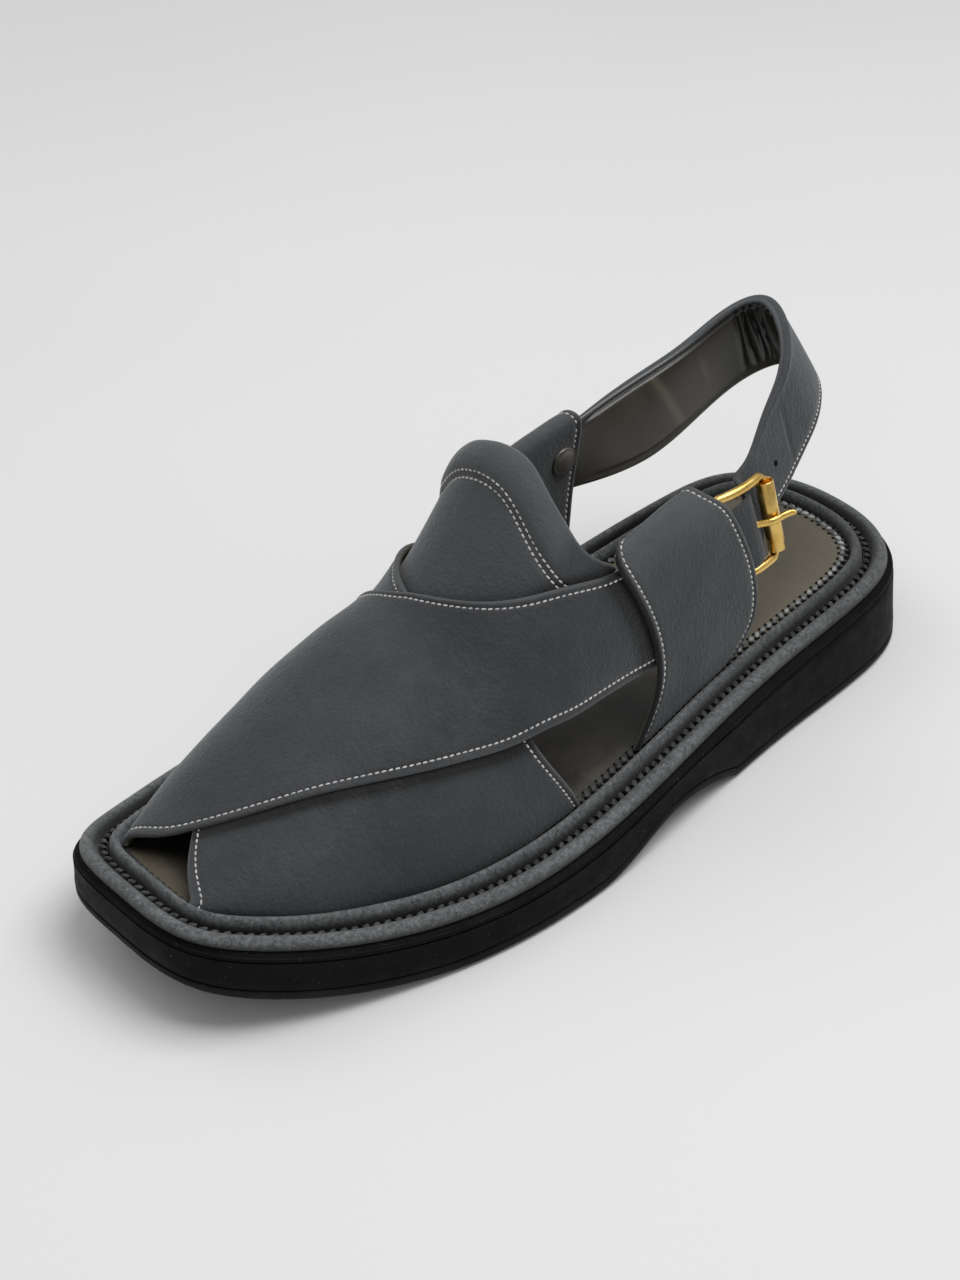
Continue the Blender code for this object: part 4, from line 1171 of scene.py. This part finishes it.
def make_sole():
    """Wearing sole and block, each as rings from its foot to its top."""
    chamfer = OUTSOLE_THICK * 0.35
    tread = (
        # inset from the flare, height over the underside
        (0.010, 0.0), (chamfer + 0.0004, 0.0), (chamfer, 0.0001), (0.0002, chamfer - 0.0001),
        (0.0, chamfer + 0.0002), (0.0, OUTSOLE_THICK * 0.75), (0.0001, OUTSOLE_THICK - 0.0004),
        (0.0005, OUTSOLE_THICK - 0.0001), (0.0012, OUTSOLE_THICK),
    )
    wall = (
        # inset from the flare, share of the wall's height, height over that
        (0.0012, 0.0, 0.0), (0.0005, 0.0, 0.0001), (0.0001, 0.0, 0.0006), (0.0, 0.06, 0.0),
        (0.00035, 0.30, 0.0), (0.00060, 0.60, 0.0), (0.00070, 0.80, 0.0),
    )
    lip = (
        # inset from the flare, depth under the top
        (0.0008, 0.0044), (0.0011, 0.0036), (0.0015, 0.0031), (0.0013, 0.0028), (0.0010, 0.0024),
        (0.0010, 0.0020), (0.0011, 0.0015), (0.0014, 0.0011), (0.0019, 0.0009), (0.0026, 0.0009),
        (0.0031, 0.0006), (0.0034, 0.0000),
    )
    rings = [ring_over(inset - SOLE_FLARE, lambda y: sole_under(y) + up) for inset, up in tread]
    rubber = rubber_finish("tread_rubber", TREAD_DARK, TREAD_LIGHT, tread=True)
    outsole = loop_solid("outsole_rubber", rings, rubber)
    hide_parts("outsole")

    def foot(y):
        return sole_under(y) + OUTSOLE_THICK + GAP / 3

    rings = [ring_over(inset - SOLE_FLARE, lambda y: foot(y) + up + share * (sole_top(y) - foot(y)))
             for inset, share, up in wall]
    rings += [ring_over(inset - SOLE_FLARE, lambda y: sole_top(y) - depth) for inset, depth in lip]
    midsole = loop_solid("midsole_block", rings, rubber_finish("block_rubber", SOLE_DARK, SOLE_LIGHT))
    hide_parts("midsole")


def make_roll(name, profile, finish, jitter, seed, shade, at_heel):
    """A roll with slow swells, with painted shade near its feet and in the channel, and darker round the heel
    by at_heel.
    """
    rings = []
    for inset, height in profile:
        ring = ring_over(inset, lambda y: sole_top(y) + height)
        place = np.arange(FINE_RING)
        swell = np.sin(place * 0.21 + seed) + np.sin(place * 0.083 + 2 * seed)
        ring[:, 2] += jitter * swell * (height > 0.002)
        rings.append(ring)
    made = ring_solid(name, rings, finish)
    deep = np.ones((len(rings), FINE_RING))
    deep[:len(shade)] = np.array(shade)[:, None]
    heel = ease((np.array(rings)[..., 1] - 0.045) / 0.06)
    attribute(made, "deep", np.clip(deep + at_heel * heel, 0, 1))
    return made


def make_rolls():
    """Welt and rand, and the thread with its holes in the channel between them."""
    finish = rolled_finish()
    end = BEAD_WIDTH + CHANNEL_WIDTH
    profile = bead_profile(0.0, BEAD_WIDTH, CHANNEL_HEIGHT * 0.4, BEAD_HEIGHT, ROLL_STEPS)
    profile += [(BEAD_WIDTH + 0.0002, CHANNEL_HEIGHT * 0.5),
                (BEAD_WIDTH + CHANNEL_WIDTH / 2, CHANNEL_HEIGHT * 0.6),
                (end, CHANNEL_HEIGHT * 0.6), (end, GAP), (BEAD_WIDTH * 0.1, GAP)]
    welt = make_roll("welt_roll", profile, finish, 0.00006, 0.4, WELT_SHADE, 0.22)
    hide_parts("welt")

    profile = bead_profile(RAND_OUTER, RAND_WIDTH, CHANNEL_HEIGHT * 0.5, RAND_HEIGHT, ROLL_STEPS)
    profile += [(RAND_INNER, GAP), (RAND_OUTER, GAP)]
    rand = make_roll("rand_roll", profile, finish, 0.00008, 1.9, RAND_SHADE, 0.42)
    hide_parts("rand")

    line = ring_over(BEAD_WIDTH + CHANNEL_WIDTH * 0.5, lambda y: sole_top(y) + CHANNEL_HEIGHT * 0.75)
    cord = thread_finish("channel_cord", CORD_DARK, CORD_LIGHT, 0.55)
    made = stitches("channel_thread", line, UP, CHANNEL_PITCH, CHANNEL_SIZE, cord, True, 0.50, 0.05, 0.0003)
    line = np.roll(line, 1, 0) + (0.0, 0.0, 0.00025)
    made = stitches("channel_holes", line, UP, CHANNEL_PITCH, CHANNEL_HOLE, hole, True, 0.50)


def insole_height(x, y, distance):
    """Stitched margin, then the padded middle with faint creases across the waist."""
    pad = ease((distance - 0.0030) / 0.0045)
    crease = 0.00022 * (bell(y + 0.15 * x, 0.018, 0.0016) + 0.8 * bell(y - 0.1 * x, 0.031, 0.0013)
                        + 0.6 * bell(y + 0.05 * x, 0.004, 0.0012))
    edge = 0.0006 * (1 - fold_roll(distance, 0.0008))
    hollow = 0.0005 * bell(y, 0.095, 0.035) * bell(x, 0.0, 0.022)
    return sole_top(y) + GAP + INSOLE_THICK - 0.0005 + pad * (0.0007 - crease - hollow) - edge


def make_insole():
    """Padded insole with its chain stitch and two rows of holes."""
    margin = RAND_INNER + GAP
    half = np.arange(FINE_RING // 2 + 1)
    ring = ring_at(margin)
    share = (0.5 - 0.5 * np.cos(np.linspace(0, math.pi, 81)))[:, None]
    plan = ring[half][:, None] * (1 - share) + ring[-half % FINE_RING][:, None] * share
    distance = nearest(plan, ring[::2])
    distance[:, [0, -1]] = 0
    distance[[0, -1]] = 0
    x, y = plan[..., 0], plan[..., 1]
    top = np.dstack([x, y, insole_height(x, y, distance)])
    under = np.dstack([x, y, sole_top(y) + GAP])
    # Shade to paint: under the bands, in the toe opening and in the gap between the bands
    under_bands = ease((y + 0.138) / 0.014) * ease((0.040 - y) / 0.022)
    in_toe = ease((y - x + 0.1190) / 0.008) * ease((-0.085 - y) / 0.010)
    in_gap = ease((y + 0.014) / 0.034) * ease((0.045 - y) / 0.010) * ease((x - 0.010) / 0.010)
    made = shell("insole_pad", top[1:-1], under[1:-1], [insole_finish()], (0, 0, 0),
                 {"margin": distance[1:-1] * 1000, "shade": under_bands[1:-1],
                  "black": np.maximum(in_toe, 0.72 * in_gap)[1:-1]})
    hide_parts("insole")

    def chain_line(beside, sunk):
        line = ring_over(margin + CHAIN_INSET + beside, lambda y: sole_top(y) + GAP + INSOLE_THICK - sunk)
        return np.roll(line, -TOE_PLAIN, 0)[:FINE_RING - 2 * TOE_PLAIN]

    chain = stitches("chain_stitch", chain_line(0, 0.0003), UP, CHAIN_PITCH, CHAIN_SIZE, chain_finish(),
                     turned=0.45, wobble=0.24)
    for name, beside, size in CHAIN_HOLES:
        made = stitches(name, chain_line(beside, 0.00048), UP, CHAIN_PITCH, (size, size * 0.9, 0.00018), hole)


# Upper
def flat_lift(turn, _along):
    """The under band lies on the form itself."""
    return 0 * turn


def band_grid(table, lift):
    """Outer and inner surface of a vamp band, and each point's place across it and from an edge."""
    lines = [line[:, None] for line in curves(table, range(4), np.linspace(0, 1, BAND_ROWS))]

    def at(share):
        turn, along = (lines[i] + (lines[i + 2] - lines[i]) * share for i in range(2))
        return np.clip(turn, 0, 1), along

    def points(share):
        turn, along = at(share)
        return form(turn, along * SOLE_LENGTH, 0)

    width = row_widths(points)
    places = edge_places(width, BAND_COLUMNS)
    turn, along = at(places / width)
    distance = np.minimum(places, width - places)
    base = lift(turn, along)
    roll = fold_roll(distance)
    y = along * SOLE_LENGTH
    swell = soft(form(turn, y, base), 0.6)
    outer = form(turn, y, base + LEATHER * (0.5 + 0.5 * roll) + fold_relief(distance) + swell)
    inner = form(turn, y, base + LEATHER * 0.5 * (1 - roll))
    return outer, inner, places, distance


def band_edge(table, lift, columns):
    """One edge of a vamp band as a line in space."""
    turn, along = curves(table, columns, np.linspace(0, 1, 200))
    turn = np.clip(turn, 0, 1)
    return form(turn, along * SOLE_LENGTH, lift(turn, along))


def sleeve_edge():
    """The front edge of the lateral side band's outer face as a line in space."""
    turn, along, out = curves(SLEEVE, (0, 1, 3), np.linspace(0, 8 / (len(SLEEVE) - 1), 200))
    return form(turn, along * SOLE_LENGTH, 0.35 * out * SLEEVE_DEPTH)


def make_vamp():
    """The two crossing bands and their seams."""
    for name, table, lift, line, reach in (
            ("vamp_over", OVER_BAND, over_lift, sleeve_edge(), SLEEVE_SHADE),
            ("vamp_under", UNDER_BAND, flat_lift, band_edge(OVER_BAND, over_lift, (2, 3)), OVER_SHADE)):
        outer, inner, places, distance = band_grid(table, lift)
        # Painted shade: the crevice beside the covering edge and the line along the foot by the rand
        dark = 2.3 * near_line(outer, line, reach) + foot_shade(outer)
        made = shell(name, outer, inner, [leather, lining], (0, 1, 0), {"wear_highlight_and_shade": wear_near(distance) - dark})
        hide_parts("vamp")
        sign = outward_sign(outer, inner)
        edge_stitches(name + "_stitch_rear", outer, places, STITCH_INSET, sign)
        edge_stitches(name + "_stitch_front", outer, places, -STITCH_INSET, sign)


def make_tongue():
    """Padded tongue with its double seam."""
    turns = np.linspace(TONGUE[0][0], TONGUE[-1][0], TONGUE_ROWS)[:, None]
    front = column(TONGUE, 0, 1)(turns)
    rim = column(TONGUE, 0, 2)(turns)
    places = (rim - front) * SOLE_LENGTH * np.linspace(0, 1, TONGUE_COLUMNS) ** 1.15
    along = rim - places / SOLE_LENGTH
    y = along * SOLE_LENGTH
    swell = np.clip((along - TONGUE_STITCH) / np.maximum(rim - TONGUE_STITCH, 0.001), 0, 1)
    shown = ease((0.24 - np.abs(turns - 0.5)) / 0.05)
    pad = TONGUE_PAD * shown * np.sin(swell * math.pi) ** 0.7
    roll = fold_roll(places, 0.0014)
    row_gap = 0.00075
    line = column(TONGUE_SEAM, 0, 1)(turns[:, 0]) * SOLE_LENGTH
    middle = form(turns, y, 0)
    step = np.linalg.norm(np.gradient(middle[:, 0], axis=0), axis=1)
    spread = np.sqrt(1 + (np.gradient(line) / step) ** 2)
    valley = sum(0.0004 * bell(y, line[:, None] + side * row_gap, 0.0006) for side in (-1, 1))
    half = TONGUE_THICK / 2
    outer = form(turns, y, -2 * GAP - half + half * roll + pad - valley + soft(middle, 2.1))
    inner = form(turns, y, -2 * GAP - half - half * roll - 0.3 * pad)
    # Rubbed edges, a painted highlight over the padded front, and painted shade beside the bands' edges
    wear_highlight_and_shade = wear_near(places) + shown * (0.46 + 0.40 * ease(swell * 3))
    wear_highlight_and_shade = wear_highlight_and_shade - near_line(outer, band_edge(OVER_BAND, over_lift, (0, 1)), TONGUE_SHADE[0])
    wear_highlight_and_shade = wear_highlight_and_shade - 0.7 * near_line(outer, band_edge(UNDER_BAND, flat_lift, (0, 1)), TONGUE_SHADE[1])
    made = shell("tongue_pad", outer, inner, [leather, lining], (0, 1, 0), {"wear_highlight_and_shade": wear_highlight_and_shade})
    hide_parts("tongue")
    normals = normals_of(outer) * outward_sign(outer, inner)
    for index, shift in enumerate((-row_gap, row_gap)):
        path = []
        for r in range(8, len(outer) - 14):
            target = -(line[r] + shift * spread[r])
            if -y[r, 0] < target < -y[r, -1]:
                both = np.hstack([outer[r], normals[r]])
                path.append([np.interp(target, -y[r], both[:, i]) for i in range(6)])
        path = np.array(path)
        seam("tongue_stitch_%d" % index, path[:, :3], path[:, 3:])


def make_side_band(name, medial, node):
    """One folded side band and its seams."""
    table = SLEEVE + (MEDIAL_LEAF_END,) if medial else SLEEVE
    columns = (0, 1, 5, 3, 6) if medial else (0, 1, 2, 3, 4)
    walk = np.linspace(0, 1, SIDE_ROWS)
    turn, front, rear, out_front, out_rear = (line[:, None] for line in curves(table, columns, walk))
    turn = np.clip(turn * (MEDIAL_TOP if medial else 1), 0, 1)
    turn = 1 - turn if medial else turn

    def face_at(share, sunk=0.0):
        out = (out_front + (out_rear - out_front) * ease(share)) * SLEEVE_DEPTH - sunk
        return form(turn, (front + (rear - front) * share) * SOLE_LENGTH, out)

    width = row_widths(face_at)
    places = edge_places(width, SIDE_COLUMNS)
    face = face_at(places / width)
    normal = normals_of(face) * outward_sign(face[10:90], face_at(places / width, 0.0005)[10:90])
    distance = np.minimum(places, width - places)
    roll = fold_roll(distance)[..., None]
    relief = (fold_relief(distance) + soft(face, 4.0 + medial))[..., None]
    outer = face - normal * SLEEVE_LEATHER * 0.5 * (1 - roll) + normal * relief
    inner = face - normal * SLEEVE_LEATHER * (0.5 + 0.5 * roll)
    # Painted highlight on the band's crown, a black front edge, painted shade along the foot, and the medial
    # band painted a little darker as shade
    crown = bell(walk, 0.55, 0.13)[:, None] * ease(places / 0.004)
    wear_highlight_and_shade = wear_near(width - places) + 1.2 * crown - 1.6 * bell(places, 0.0, 0.0010)
    wear_highlight_and_shade = wear_highlight_and_shade - foot_shade(outer) - 0.18 * medial
    made = shell(name, outer, inner, [leather, lining], (0, 1, 0), {"wear_highlight_and_shade": wear_highlight_and_shade})
    if not medial:
        rows, across = outer.shape[0] - 1, outer.shape[1] - 1
        for index in range((int(LEAF_START * (rows + 1)) + 1) * across, rows * across):
            made.data.polygons[index].material_index = 1
    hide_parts(node)
    sign = outward_sign(outer, inner)
    edge_stitches(name + "_stitch_front", outer, places, STITCH_INSET, sign, OUTER_SEAM)
    edge_stitches(name + "_stitch_rear", outer, places, -STITCH_INSET, sign, OUTER_SEAM)
    if medial:
        edge_stitches(name + "_stitch_inner", outer, places, -STITCH_INSET, sign, INNER_SEAM)


def roller_line():
    """The axis of the buckle's roller."""
    middle, down, back, _ = buckle_frame()
    return middle + back * BUCKLE_REACH / 2 + down * BUCKLE_WIDTH * np.linspace(-0.4, 0.4, 30)[:, None]


def make_strap():
    """Heel strap with its padding, folds, seams and holes."""
    upper, lower, normal, thick = strap_stations(STRAP_STEPS)
    middle = (upper + lower) / 2
    s = walked(middle)[:, None]
    past_bend = s - s[np.argmax(middle[:, 1])]
    thick = thick[:, None]
    width = np.linalg.norm(lower - upper, axis=1)[:, None]
    across = (lower - upper) / width
    places = edge_places(width, STRAP_COLUMNS, 0.49)
    from_low = width - places
    distance = np.minimum(places, from_low)
    roll = fold_roll(distance, np.minimum(0.0014, thick / 2))
    padded = ease((thick - 1.3 * TAIL_THICK) / (0.8 * TAIL_THICK))
    sink = 0.5 + 0.2 * ease((thick - TAIL_THICK) / TAIL_THICK)
    mid = thick * (0.5 - sink)
    inside = ease(places / 0.006) * ease(from_low / 0.006)

    # The outer face: crown, valley of the seam, fold at the upper edge and a slanting crease
    crown = 0.00055 * padded * np.sin(np.clip(places / width, 0, 1) * math.pi) ** 0.8
    valley = 0.0004 * padded * bell(from_low, STITCH_INSET, 0.0007)
    fold = 0.00035 * padded * bell(places, 0.0012, 0.0012)
    slant = past_bend - 0.050 - 0.55 * (places - 0.010)
    crease = 0.0005 * bell(slant, 0, 0.0011) * bell(places, 0.013, 0.008)
    lift_out = mid + thick / 2 * roll + crown * 0.6 - valley + fold - crease + soft(middle, 5)[:, None]

    # The lining: grooves along both edges, its padding, the folds round the bend and two creases
    groove = 0.0011 * padded * bell(places, 0.0022, 0.0006) + 0.0004 * padded * bell(from_low, 0.0024, 0.0007)
    hump = np.sin(np.clip((places - 0.0027) / (width - 0.0050), 0, 1) * math.pi)
    pad = padded * 0.0009 * np.clip(hump, 0, 1) ** 0.5
    folds = sum(depth * 0.00115 * bell(past_bend - 0.00055 * np.sin(places * 190 + index * 2.3), offset, thin)
                for index, (offset, depth, thin) in enumerate(BEND_FOLDS))
    folds = folds * padded * ease(places / 0.004) * ease((from_low - 0.001) / 0.007)
    creases = padded * inside * (
        0.00020 * bell(s, 0.0400 + 0.42 * places - 5.0 * places ** 2, 0.0017)
        + 0.00011 * bell(s, 0.060 + 0.1 * places, 0.0013) * bell(places, 0.012, 0.006))
    lift_in = mid - thick / 2 * roll + groove - pad * 0.5 + folds - creases

    surface = upper[:, None] + across[:, None] * places[..., None]
    outer = surface + normal[:, None] * lift_out[..., None]
    inner = surface + normal[:, None] * lift_in[..., None]
    wear_highlight_and_shade = wear_near(distance) * (0.2 + 0.5 * ease((places - 0.004) / 0.004))
    wear_highlight_and_shade = wear_highlight_and_shade + 0.1 * ease((past_bend - 0.030) / 0.030)
    # Painted shade beside the roller
    wear_highlight_and_shade = wear_highlight_and_shade - 1.5 * near_line(outer, roller_line(), ROLLER_SHADE)
    # Painted shade in the lining: its folds round the bend, the groove by the upper edge and the strap's
    # medial end
    rimmed = ease(places / 0.003)
    fold_shade = np.clip(folds * padded / 0.0007, 0, 1) * rimmed
    at_bend = padded * bell(past_bend, -0.002, 0.0125)
    fold_shade = fold_shade + 0.45 * at_bend * rimmed * ease(from_low / 0.006)
    fold_shade = fold_shade + 0.75 * bell(places, 0.0023, 0.0007) + 0.35 * ease((0.030 - s) / 0.022)
    made = shell("strap_leather", outer, inner, [leather, strap_lining], (0, 1, 0),
                 {"wear_highlight_and_shade": wear_highlight_and_shade, "roll": ease((0.0021 - places) / 0.0004), "fold": np.clip(fold_shade, 0, 1),
                  "pale_crease": np.clip(creases / 0.0002, 0, 1)})
    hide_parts("heel_strap")

    def station(place):
        return int(np.argmin(np.abs(past_bend - place)))

    sign = outward_sign(outer, inner)
    rows = slice(6, station(STRAP_SEAM_END))
    edge_stitches("strap_stitch", outer, places, -0.0022, sign, rows, STRAP_PITCH, STRAP_SIZE)
    rows = slice(*(station(place) for place in TAIL_SEAM))
    edge_stitches("tail_stitch", outer, places, -0.0018, sign, rows, STRAP_PITCH, STRAP_SIZE)
    for index, (place, share_down) in enumerate(STRAP_HOLES):
        r = station(place)
        centre = row_path(outer[r:r + 1], places[r:r + 1], share_down * width[r, 0])[0]
        away = unit(normals_of(outer)[r].mean(axis=0) * sign)
        side = unit(np.cross(away, across[r]))
        rings = circles(centre, side, across[r], away, HOLE_RINGS, 16)
        made = loop_solid("strap_hole_%d" % index, rings, hole)


def make_buckle():
    """Wire frame, roller and prong."""
    brass = metal_finish("brass_polished", BRASS_DARK, BRASS_LIGHT, 0.24)
    middle, down, back, out = buckle_frame()
    points = []
    straight = np.array([BUCKLE_WIDTH / 2, BUCKLE_REACH / 2]) - BUCKLE_CORNER
    for quarter, signs in enumerate(((1, 1), (-1, 1), (-1, -1), (1, -1))):
        corner = straight * signs
        for step in range(13):
            angle = math.pi / 2 * (quarter + step / 12)
            points.append(corner + BUCKLE_CORNER * np.array([math.cos(angle), math.sin(angle)]))
    fine = []
    for a, b in zip(points, points[1:] + points[:1]):
        count = max(1, int(np.linalg.norm(b - a) / 0.0012))
        fine += [a + (b - a) * i / count for i in range(count)]
    across, along = (np.array(fine)[:, i:i + 1] for i in (0, 1))
    bow = WIRE_BOW * np.cos(np.clip(along / (BUCKLE_REACH / 2), -1, 1) * math.pi / 2)
    bow = bow * (np.abs(across) > BUCKLE_WIDTH / 2 - 0.0003)
    path = middle + down * across + back * along + out * bow
    frame_wire = tube("buckle_wire", path, WIRE_RADIUS * WIRE_STOUT, brass, out, closed=True)
    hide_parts("buckle_frame")

    play = ROLLER_RADIUS - ROLLER_WALL - WIRE_RADIUS - GAP
    bore = ROLLER_RADIUS - ROLLER_WALL
    half = ROLLER_LENGTH / 2
    edge = 0.00022
    rows = [(bore, edge - half), (bore + edge, -half),
            (ROLLER_RADIUS - edge, -half), (ROLLER_RADIUS, edge - half)]
    rows += [(radius, -place) for radius, place in reversed(rows)]
    rings = circles(middle + back * BUCKLE_REACH / 2 + out * play, back, out, down, rows, 56)
    roller = ring_solid("buckle_tube", rings, brass)
    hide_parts("buckle_roller")

    path = prong_path(49)
    taper = np.interp(np.linspace(0, 1, len(path)), [0, 0.6, 0.93, 1.0], [1.15, 1.2, 1.05, 0.5])
    prong = tube("prong_hook", path, taper * PRONG_RADIUS, brass, out, flat=0.72)
    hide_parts("buckle_prong")


def make_rivet():
    """Rivet cap with a ring groove near its edge."""
    base, tip = (form(1 - RIVET_TURN, RIVET_ALONG * SOLE_LENGTH, RIVET_LIFT - height)
                 for height in (0, RIVET_HEIGHT))
    axis = unit(tip - base)
    side = unit(np.cross(axis, UP))
    rows = (
        # share of the radius, share of the height
        (1.00, -0.4), (1.00, 0.30), (0.97, 0.48), (0.90, 0.52), (0.84, 0.46), (0.80, 0.52), (0.66, 0.74),
        (0.45, 0.92), (0.22, 1.00), (0.05, 1.02),
    )
    rows = [(share * RIVET_RADIUS * RIVET_STOUT, height * RIVET_HEIGHT) for share, height in rows]
    rings = circles(base, side, np.cross(side, axis), axis, rows, 40)
    cap = metal_finish("rivet_gunmetal", GUNMETAL_DARK, GUNMETAL_LIGHT, 0.36)
    made = loop_solid("rivet_cap", rings, cap)
    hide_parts("rivet")


# Stage
PHOTO_LENS = 1950.0
PHOTO_SIZE = (960.0, 1280.0)
VIEW_PLACE = (0.49789, -0.41375, 0.50575)
VIEW_RIGHT = (0.60655, 0.79087, -0.08144)
VIEW_DOWN = (0.35813, -0.36324, -0.86012)
VIEW_AIM = (602.0, 800.0)
ZOOM = 1.31
SENSOR = 36.0
FLOOR_HALF = 6.0
WORLD_COLOR = (0.95, 0.96, 0.97, 1)
WORLD_STRENGTH = 0.43
LIGHTS = (
    # name, place, aim, size, power
    ("key", (0.35, 0.30, 1.3), (0, 0, 0.03), 0.9, 12.5),
    ("left", (-0.9, -0.3, 1.0), (0, 0, 0.05), 0.9, 2.5),
    ("fill", (0.9, -1.0, 0.9), (0, 0, 0.03), 1.0, 0.8),
)


def make_camera():
    """The photograph's own view point, turned to the shoe and drawn closer."""
    right = unit(np.array(VIEW_RIGHT))
    down = np.array(VIEW_DOWN)
    down = unit(down - right * np.dot(down, right))
    ahead = np.cross(right, down)
    aside = (np.array(VIEW_AIM) - np.array(PHOTO_SIZE) / 2) @ np.array([right, down])
    turn = Vector(ahead).rotation_difference(Vector(unit(aside + ahead * PHOTO_LENS)))
    axes = [turn @ Vector(v) for v in (right, -down, -ahead)]
    data = bpy.data.cameras.new("camera")
    data.sensor_width = SENSOR
    data.sensor_fit = "AUTO"
    data.lens = PHOTO_LENS * ZOOM / PHOTO_SIZE[1] * SENSOR
    data.clip_start = 0.01
    data.dof.use_dof = False
    camera = bpy.data.objects.new("camera", data)
    camera.matrix_world = Matrix(axes).transposed().to_4x4()
    camera.location = VIEW_PLACE
    bpy.context.scene.collection.objects.link(camera)
    bpy.context.scene.camera = camera


def make_stage():
    """Floor, soft surroundings and three lamps."""
    mesh = bpy.data.meshes.new("floor")
    corners = [(x * FLOOR_HALF, y * FLOOR_HALF, 0) for x, y in ((-1, -1), (1, -1), (1, 1), (-1, 1))]
    mesh.from_pydata(corners, [], [(0, 1, 2, 3)])
    mesh.materials.append(floor_finish())
    floor = bpy.data.objects.new("floor", mesh)
    bpy.context.scene.collection.objects.link(floor)
    world = bpy.data.worlds.new("studio")
    world.use_nodes = True
    background = world.node_tree.nodes["Background"]
    background.inputs["Color"].default_value = WORLD_COLOR
    background.inputs["Strength"].default_value = WORLD_STRENGTH
    bpy.context.scene.world = world
    for name, place, aim, size, power in LIGHTS:
        data = bpy.data.lights.new(name, "AREA")
        data.shape = "RECTANGLE"
        data.size = size
        data.size_y = size
        data.energy = power
        lamp = bpy.data.objects.new(name, data)
        lamp.location = place
        lamp.rotation_euler = (Vector(aim) - Vector(place)).to_track_quat("-Z", "Y").to_euler()
        bpy.context.scene.collection.objects.link(lamp)
    bpy.context.scene.view_settings.view_transform = "Standard"


leather = leather_finish()
lining = lining_finish()
strap_lining = strap_lining_finish()
hole = hole_finish()
thread = thread_finish("pale_thread", THREAD_DARK, THREAD_LIGHT)
make_camera()
make_stage()
make_sole()
make_rolls()
make_insole()
make_vamp()
make_tongue()
make_side_band("band_lateral", False, "side_band_lateral")
make_side_band("band_medial", True, "side_band_medial")
make_strap()
make_buckle()
make_rivet()
